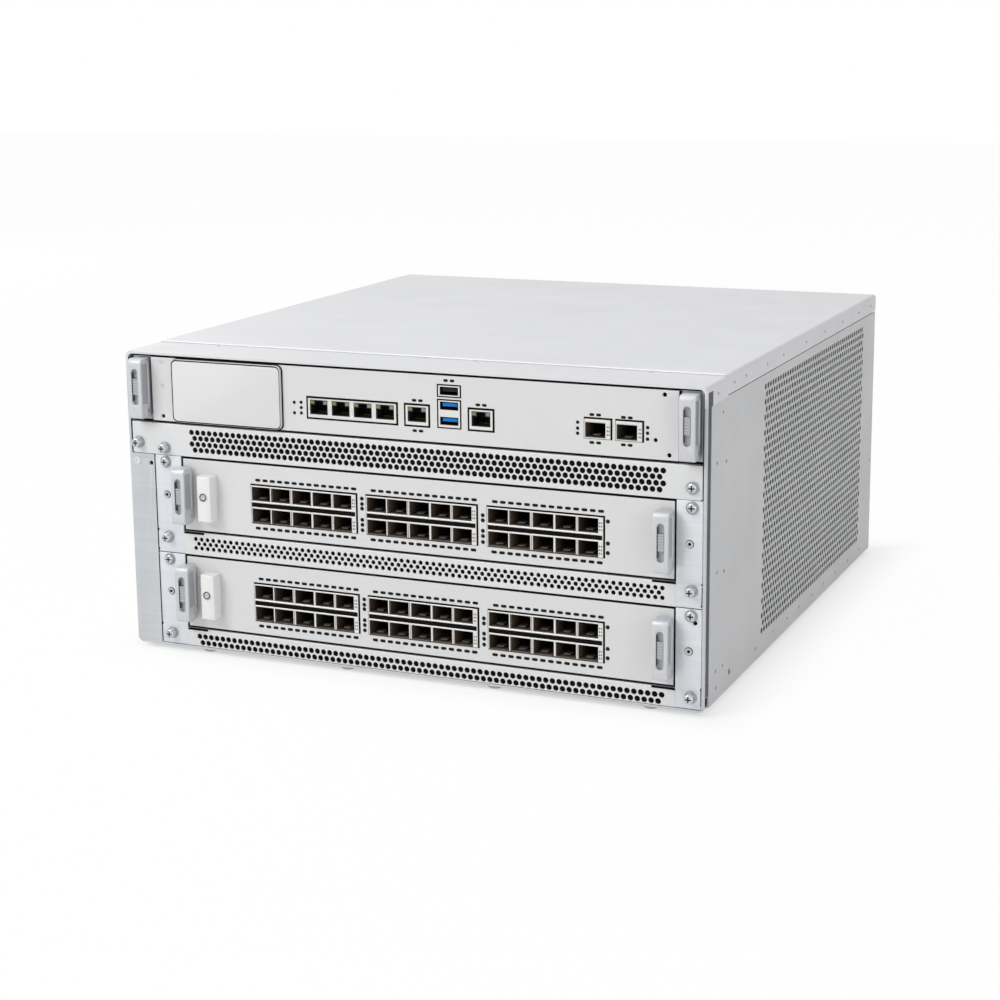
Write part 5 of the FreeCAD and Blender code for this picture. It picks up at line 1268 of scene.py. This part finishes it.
def cover_hem():
    """The cover's folded front edge: a slim rounded bead along the seam with the hood, painted much lighter
    than the cover as a painted highlight.
    """
    low, high = reach("top_cover")
    bead = block("cover_hem", (low.x + 2.5, low.y - 0.25, high.z - 0.8),
                 (high.x - 2.5, low.y + 0.85, high.z + 0.18))
    bevelled(bead, every(lies_at(Z, high.z + 0.18), runs(X)), 0.45, 3)
    settle(bead, "chassis", "cover_grey", HEM_HIGHLIGHT_PAINT)


# Rear: fan tray with its guards and fans, power supplies, rear panel

FAN_SPOTS, FAN_UP, FAN_BORE = (-124.0, 0.0, 124.0), 122.7, 57.5
FAN_FRONT, REAR, TRAY_FACE = 199.5, 233.5, 234.7
FAN_MIDDLE, ROTOR_MIDDLE, HUB_RADIUS = 216.5, 214.8, 21.0
WIRE = 1.6
GUARD_RINGS = (15.0, 25.5, 36.0, 46.5, 57.0)
FAN_CORNERS = [(a, b) for a in (-52.5, 52.5) for b in (-52.5, 52.5)]


def wire_ring(radius, thick, y):
    """A closed ring of wire about Y, spun from a small circle."""
    bpy.ops.object.select_all(action="DESELECT")
    bpy.ops.mesh.primitive_circle_add(vertices=6, radius=thick / 2 * MM, location=mm((radius, y, 0)))
    bpy.ops.object.transform_apply()
    ring = bpy.context.object
    edit(ring)
    bpy.ops.mesh.select_all(action="SELECT")
    bpy.ops.mesh.spin(steps=48, angle=2 * math.pi, center=(0, y * MM, 0), axis=(0, 1, 0))
    bpy.ops.mesh.select_all(action="SELECT")
    bpy.ops.mesh.remove_doubles(threshold=WELD)
    bpy.ops.mesh.normals_make_consistent(inside=False)
    shut()
    return ring


def finger_guard():
    """A wire guard about a fan's axis: rings on four spokes that end in eyes, and a disc in the middle."""
    y = TRAY_FACE + 0.9
    wires = [wire_ring(radius, WIRE, y) for radius in GUARD_RINGS]
    for x, z in FAN_CORNERS:
        spoke = round_bar("spoke", X, 0.9, (40.0, y, 0), 64.0, 8)
        bevelled(spoke, lies_at(X, 72.0), 0.3, 1)
        wires.append(turned(spoke, Y, -math.atan2(z, x), (0, y, 0)))
        eye = wire_ring(3.6, WIRE, y)
        eye.data.transform(Matrix.Translation(mm((x, 0, z))))
        wires.append(eye)
    disc = round_bar("disc", Y, 10.0, (0, y, 0), WIRE, 32)
    wires.append(bevelled(disc, lies_at(Y, y + WIRE / 2), 0.4, 2))
    return joined("guard", wires)


def fan_case():
    """A fan's case about its axis: two square flanges, a round duct and a motor plate on four struts."""
    bore = lambda: round_bar("bore", Y, FAN_BORE, (0, FAN_MIDDLE, 0), 60, 64)
    parts = []
    for y in ((FAN_FRONT, FAN_FRONT + 4.0), (REAR - 4.0, REAR)):
        flange = bevelled(block("flange", (-60, y[0], -60), (60, y[1], 60)), runs(Y), 6.0, 4)
        holes = [round_bar("hole", Y, 2.2, (x, y[0], z), 20, 12) for x, z in FAN_CORNERS]
        parts.append(soften(cut_out(flange, bore(), *holes), 0.3, 1, 50))
    duct = round_bar("duct", Y, 59.4, (0, FAN_MIDDLE, 0), REAR - FAN_FRONT - 7.8, 64)
    parts.append(cut_out(duct, bore()))
    motor = round_bar("motor", Y, HUB_RADIUS, (0, FAN_FRONT + 1.5, 0), 3.0, 40)
    bevelled(motor, lies_at(Y, FAN_FRONT), 0.8, 2)
    parts.append(cut_out(motor, round_bar("bearing", Y, 2.55, (0, FAN_FRONT, 0), 12, 20)))
    for k in range(4):
        strut = block("strut", (20.0, FAN_FRONT, -2.0), (58.5, FAN_FRONT + 3.0, 2.0))
        bevelled(strut, runs(X), 0.7, 2)
        parts.append(turned(strut, Y, k * math.pi / 2))
    return joined("case", parts)


BLADE_TWIST = ((17.0, 54.0), (26.2, 49.0), (35.4, 44.0), (44.6, 39.0), (53.8, 34.0))


def rotor_form():
    """A rotor about its axis: a cupped hub, its shaft, and five bowed blades that flatten to the tip."""
    middle = ROTOR_MIDDLE
    hub = round_bar("hub", Y, HUB_RADIUS, (0, middle, 0), 24.0, 40)
    bevelled(hub, lies_at(Y, middle + 12.0), 2.0, 4)
    pick(hub, "FACE", looks(Y, 1))
    inset(4.0, -0.6)
    shut()
    shaft = round_bar("shaft", Y, 2.5, (0, 201.2, 0), 3.4, 20)
    bevelled(shaft, lies_at(Y, FAN_FRONT), 0.4, 2)
    blade = block("blade", (-14.0, middle - 0.9, 17.0), (14.0, middle + 0.9, 53.8))
    slices(blade, Z, *[place for place, turn in BLADE_TWIST[1:-1]])
    slices(blade, X, -7.0, 0.0, 7.0)
    for half, bow in ((8.0, 1.0), (1.0, 0.6)):
        pick(blade, "VERT", lambda point: abs(point.co.x) < half * MM)
        shift(y=bow)
    for place, turn in BLADE_TWIST:
        pick(blade, "VERT", lambda point: abs(point.co.z - place * MM) < 0.1 * MM)
        bpy.ops.transform.rotate(value=math.radians(turn), orient_axis="Z",
                                 center_override=mm((0, middle, place)))
    shut()
    soften(blade, 0.4, 1, 50)
    blades = [turned(twin(blade), Y, 2 * math.pi * k / 5) for k in range(5)]
    bpy.data.objects.remove(blade)
    return joined("rotor", [hub, shaft] + blades)


def rear_screw(radius, length):
    """A screw that looks to the rear, its seat at the origin."""
    return turned(screw_form("screw", radius, length), Z, math.pi)


def thumb_screw():
    """A knurled thumb screw that looks to the rear, its seat at the origin."""
    knob = round_bar("knob", Y, 4.6, (0, 4.6, 0), 6.8, 28)
    pick(knob, "FACE", lambda face: abs(face.normal.y) < 0.5)
    bpy.ops.mesh.inset(thickness=0.16 * MM, depth=0.35 * MM, use_individual=True)
    shut()
    bevelled(knob, lies_at(Y, 8.0), 0.6, 2)
    collar = bevelled(round_bar("collar", Y, 3.6, (0, 0.7, 0), 1.4, 24), lies_at(Y, 1.4), 0.2, 1)
    cut_out(knob, block("slot", (-6.0, 7.0, -0.5), (6.0, 9.0, 0.5)))
    return joined("thumb", [knob, collar])


def fan_tray_set():
    """The tray with its cases, guards and screws, and the three rotors on their own bodies."""
    low, high = reach("fan_tray")
    plate = block("plate", (low.x, REAR, low.z), (high.x, TRAY_FACE, high.z))
    bevelled(plate, runs(Y), 3.0, 4)
    cut_out(plate, *[round_bar("opening", Y, FAN_BORE, (x, REAR, FAN_UP), 10, 64) for x in FAN_SPOTS])
    soften(plate, 0.3, 2, 50)
    floor = block("floor", (-184.0, FAN_FRONT, 61.5), (184.0, REAR, 62.7))
    bevelled(floor, every(lies_at(Y, FAN_FRONT), runs(X)), 0.4, 2)
    settle(joined("fan_tray_plate", [plate, floor]), "fan_tray", "tray_steel", TRAY_STEEL, ["fan_tray"], 30)
    axes = [(x, 0, FAN_UP) for x in FAN_SPOTS]
    set_out("fan_cases", fan_case(), axes, "fan_tray", "rotor_black", FAN_BLACK, ["fan_tray"])
    set_out("fan_guards", finger_guard(), axes, "fan_tray", "screw_zinc", WIRE_NICKEL)
    heads = [(x + a, TRAY_FACE, FAN_UP + b) for x in FAN_SPOTS for a, b in FAN_CORNERS]
    set_out("guard_screws", rear_screw(3.3, 2.4), heads, "fan_tray", "screw_zinc", SCREW_ZINC)
    knobs = [(x, TRAY_FACE, z) for x in (-191.5, 191.5) for z in (61.0, 184.3)]
    set_out("tray_thumb_screws", thumb_screw(), knobs, "fan_tray", "screw_zinc", SCREW_ZINC, ["fan_tray"])
    rotor = rotor_form()
    for k, place in enumerate(axes, 1):
        node = f"fan_rotor_{k}"
        settle(twin(rotor, place), node, "rotor_black", FAN_BLACK, [node]).name = node + "_bladed"
    bpy.data.objects.remove(rotor)


SUPPLY_MIDDLES, SUPPLY_FACE = (-140.0, 140.0), 234.5
PIN_END, GRIP_BACK = 232.0, 249.95
SUPPLY_WINDOWS = ((-42.3, -17.7, 16.4, 33.4), (1.6, 10.4, 9.4, 40.4), (18.0, 37.4, 20.2, 29.6))
SUPPLY_VENTS = ([(13.6 + 3.7 * k, z) for k in range(10) for z in (9.4, 13.0, 16.6, 33.2, 36.8, 40.4)]
                + [(40.4 + 3.7 * k, z) for k in range(3) for z in (20.8, 24.9, 29.0)]
                + [(-13.4 + 3.7 * k, 9.4 + 3.87 * n) for k in range(4) for n in range(9)])


def supply_sets():
    """On each supply: a pierced face over a black screen of painted shade, the inlet with its pins, a grip
    and a lamp.
    """
    # painted shade: the black screen behind the face's vents and windows
    screen = block("screen", (-49.6, SUPPLY_FACE, 6.2), (49.6, SUPPLY_FACE + 0.12, 43.6))
    plate = block("plate", (-50.2, SUPPLY_FACE + 0.12, 5.5), (50.2, SUPPLY_FACE + 0.9, 44.3))
    bevelled(plate, runs(Y), 1.5, 3)
    for sheet in (screen, plate):
        cut_out(sheet, *[block("window", (x0, SUPPLY_FACE - 2, z0), (x1, SUPPLY_FACE + 4, z1))
                         for x0, x1, z0, z1 in SUPPLY_WINDOWS])
    cut_out(plate, *[round_bar("vent", Y, 1.45, (x, SUPPLY_FACE, z), 6, 10) for x, z in SUPPLY_VENTS])
    inlet = block("inlet", (-41.9, 219.6, 16.75), (-18.1, SUPPLY_FACE + 1.4, 33.05))
    bevelled(inlet, every(runs(Y), within(Z, 30.0, 40.0)), 3.0, 2)
    sunk(inlet, 2.0, -12.0, 1)
    pins = []
    for x, z in ((-30.0, 27.9), (-35.6, 23.0), (-24.4, 23.0)):
        pin = block("pin", (x - 1.0, 222.0, z - 2.2), (x + 1.0, PIN_END, z + 2.2))
        pins.append(bevelled(pin, lies_at(Y, PIN_END), 0.6, 2))
    pins = joined("pins", pins)
    grip = block("grip", (1.5, 245.0, 14.0), (10.5, GRIP_BACK, 35.8))
    slices(grip, Z, *[16.4 + 2.0 * k for k in range(10)])
    bevelled(grip, every(runs(Z), lies_at(Y, GRIP_BACK)), 1.6, 3)
    lamp = round_bar("lamp", Y, 1.4, (-30.0, SUPPLY_FACE + 0.9, 38.6), 1.0, 16)
    bevelled(lamp, lies_at(Y, SUPPLY_FACE + 1.4), 0.4, 2)
    forms = (("screen", screen, "rail_plastic", SHADE_BLACK),
             ("pierced_face", plate, "supply_steel", SUPPLY_STEEL),
             ("inlet", inlet, "rail_plastic", BLACK_PLASTIC_AND_SHADE),
             ("inlet_pins", pins, "screw_zinc", SCREW_ZINC),
             ("grip", grip, "rail_plastic", BLACK_PLASTIC_AND_SHADE),
             ("lamp", lamp, "tongue_blue", LAMP_GREEN))
    for k, middle in enumerate(SUPPLY_MIDDLES, 1):
        for name, form, slot, paint in forms:
            settle(twin(form, (middle, 0, 0)), f"power_supply_{k}", slot, paint).name = f"supply_{k}_{name}"
    for name, form, slot, paint in forms:
        bpy.data.objects.remove(form)


REAR_SCREWS = ([(x, z) for x in (-210.5, 210.5) for z in (16.0, 84.0, 152.0, 214.0)]
               + [(x, 214.0) for x in (-105.0, 0.0, 105.0)])


def rear_fasteners():
    """Screws round the rear panel and two grounding studs with their nuts."""
    places = [(x, REAR, z) for x, z in REAR_SCREWS]
    set_out("rear_screws", rear_screw(2.9, 1.7), places, "chassis", "screw_zinc", SCREW_ZINC)
    nut = round_bar("nut", Y, 4.4, (0, 1.6, 0), 3.2, 6)
    bevelled(nut, lies_at(Y, 3.2), 0.4, 2)
    stud = round_bar("stud", Y, 2.4, (0, 2.6, 0), 7.4, 16)
    bevelled(stud, lies_at(Y, 6.3), 0.5, 2)
    seat = washer_form(5.4)
    turned(seat, Z, math.pi)
    studs = spread("ground_studs", joined("stud", [nut, stud, seat]),
                   [(x, REAR, 33.5) for x in (-7.94, 7.94)])
    settle(studs, "chassis", "screw_zinc", SCREW_ZINC)


# Circuit boards: the sheet, a finned heat sink, rear plugs, chips and capacitors

CHIPS = ((-110.0, -60.0, 26.0), (-110.0, -110.0, 18.0), (110.0, -60.0, 26.0), (110.0, -110.0, 18.0),
         (-60.0, 15.0, 16.0), (0.0, 15.0, 20.0), (60.0, 15.0, 16.0), (-75.0, -135.0, 14.0),
         (75.0, -135.0, 14.0), (0.0, -135.0, 14.0))
CAPACITORS = ([(a + 9.0 * k, 38.0) for a in (-40.0, 22.0) for k in range(3)]
              + [(x, -10.0 - 12.0 * k) for x in (-140.0, 140.0) for k in range(6)])
BOARD_TOPS = {"supervisor": 184.3, "card_1": 103.3, "card_2": 30.0}


def circuit_boards():
    """The board of each module with what stands on it."""
    for module, top in BOARD_TOPS.items():
        node = module + "_board"
        low, high = reach(node)
        sheet = block("sheet", (low.x, low.y, top - 2.0), (high.x, high.y, top))
        bevelled(sheet, every(runs(Z), lies_at(Y, high.y)), 3.0, 3)
        settle(soften(sheet, 0.15, 1), module, "board_green", BOARD_GREEN, [node]).name = node + "_sheet"
        sink = block("sink", (-42.0, -88.7, top), (42.0, -16.7, top + 4.0))
        slices(sink, X, *[-42.0 + 2.0 * k for k in range(1, 42)])
        pick(sink, "FACE", every(looks(Z, 1), alternate(X, -41.0, 2)))
        extrude(z=14.0)
        shut()
        settle(sink, module, "cage_nickel", FIN_SILVER, [node]).name = node + "_sink"
        plugs = []
        for spot in (-70.0, 70.0):
            plug = block("plug", (spot - 35.0, 55.3, top), (spot + 35.0, 73.3, top + 11.0))
            slices(plug, X, *[spot - 33.0 + 2.0 * k for k in range(34)])
            slices(plug, Z, top + 3.0, top + 8.0)
            pick(plug, "FACE", every(looks(Y, 1), within(Z, top + 3.0, top + 8.0),
                                     within(X, spot - 33.0, spot + 33.0), alternate(X, spot - 32.0, 2)))
            extrude(y=-3.0)
            shut()
            plugs.append(bevelled(plug, every(lies_at(Z, top + 11.0), runs(Y)), 0.5, 2))
        settle(joined(node + "_plugs", plugs), module, "rail_plastic", BLACK_PLASTIC_AND_SHADE, [node])
        chips = []
        for x, y, wide in CHIPS:
            chip = block("chip", (x - wide / 2, y - wide / 2, top), (x + wide / 2, y + wide / 2, top + 1.8))
            pick(chip, "FACE", looks(Z, 1))
            inset(1.2, 0.3)
            shut()
            chips.append(chip)
        settle(joined(node + "_chips", chips), module, "rail_plastic", CHIP_BLACK)
        can = round_bar("can", Z, 3.2, (0, 0, top + 4.0), 8.0, 20)
        bevelled(can, lies_at(Z, top + 8.0), 0.6, 2)
        set_out(node + "_capacitors", can, [(x, y, 0) for x, y in CAPACITORS], module, "cage_nickel",
                FIN_SILVER)


# Camera, light and floor


def background_rays(tree):
    """One where the background shows white: to the camera, and in metal and glass."""
    ray = add_node(tree, "LightPath", {}).outputs
    total = ray["Is Camera Ray"]
    for label in ("Is Glossy Ray", "Is Transmission Ray"):
        total = calc(tree, "MAXIMUM", total, ray[label])
    return total


FOOTPRINT = (("X", 0.221), ("Y", 0.2365))


def pale_floor():
    """White towards the distance, and lit by the lamps near the object, so that its shadow shows."""
    bpy.ops.object.select_all(action="DESELECT")
    bpy.ops.mesh.primitive_plane_add(size=12)
    floor = bpy.context.object
    floor.name = "floor"
    pale = bpy.data.materials.new("pale_floor")
    pale.use_nodes = True
    tree = pale.node_tree
    shader = feed(tree, tree.nodes["Principled BSDF"],
                  {"Base Color": (0.95, 0.95, 0.95, 1), "Roughness": 0.9, "Specular IOR Level": 0.1})
    place = add_node(tree, "TexCoord", {}).outputs["Object"]
    sides = add_node(tree, "SeparateXYZ", {"Vector": place}).outputs
    past = [calc(tree, "SUBTRACT", calc(tree, "ABSOLUTE", sides[label]), half)
            for label, half in FOOTPRINT]
    blend = add_node(tree, "MapRange", {"From Min": -0.05, "From Max": 0.05, "To Min": 0.3, "To Max": 0.97,
                                        "Value": calc(tree, "MAXIMUM", *past)},
                     interpolation_type="SMOOTHSTEP")
    seen = calc(tree, "MULTIPLY", background_rays(tree), blend.outputs["Result"])
    glow = add_node(tree, "Emission", {}).outputs["Emission"]
    mix = add_node(tree, "MixShader", {"Fac": seen, 1: shader.outputs["BSDF"], 2: glow})
    feed(tree, tree.nodes["Material Output"], {"Surface": mix.outputs["Shader"]})
    floor.data.materials.append(pale)


LAMPS = (("key", (-1.35, -2.05, 1.9), 1.4, 41.0), ("above", (-0.2, -0.3, 2.2), 2.2, 14.0),
         ("side_fill", (2.3, -1.7, 0.9), 1.4, 12.0), ("rear_fill", (-2.3, 1.5, 1.0), 1.6, 14.0))


def studio():
    """The camera of the photo, the lamps, a world that looks white, and the floor."""
    scene = bpy.context.scene
    scene.view_settings.view_transform = "Standard"
    lens = bpy.data.cameras.new("photo_camera")
    lens.lens, lens.sensor_width = 73.8, 36.0
    lens.shift_x, lens.shift_y = 0.02, -0.05
    camera = bpy.data.objects.new("photo_camera", lens)
    camera.location = (0.61244, -1.4807, 0.45682)
    camera.rotation_euler = [math.radians(a) for a in (78.122, 0.636, 23.791)]
    scene.collection.objects.link(camera)
    scene.camera = camera
    for name, place, width, power in LAMPS:
        light = bpy.data.lights.new(name, "AREA")
        light.size, light.energy = width, power
        lamp = bpy.data.objects.new(name, light)
        lamp.location = place
        lamp.rotation_euler = (Vector((0, 0, 0.1)) - Vector(place)).to_track_quat("-Z", "Y").to_euler()
        scene.collection.objects.link(lamp)
    world = bpy.data.worlds.new("studio")
    scene.world = world
    world.use_nodes = True
    tree = world.node_tree
    tree.nodes.clear()
    dim = add_node(tree, "Background", {"Strength": 0.39, "Color": (1, 1, 1, 1)}).outputs["Background"]
    white = add_node(tree, "Background", {"Color": (1, 1, 1, 1)}).outputs["Background"]
    mix = add_node(tree, "MixShader", {"Fac": background_rays(tree), 1: dim, 2: white})
    add_node(tree, "OutputWorld", {"Surface": mix.outputs["Shader"]})
    pale_floor()


studio()
front_frame()
jamb_plates()
control_panel()
spare_bay_plate()
card_panels()
lever_sets()
network_jacks()
usb_ports()
optic_ports()
cage_fronts()
light_pipes()
front_fasteners()
screw_blocks()
domed_feet()
seam_screws()
cover_hem()
intake_strips()
side_walls()
fan_tray_set()
supply_sets()
rear_fasteners()
circuit_boards()
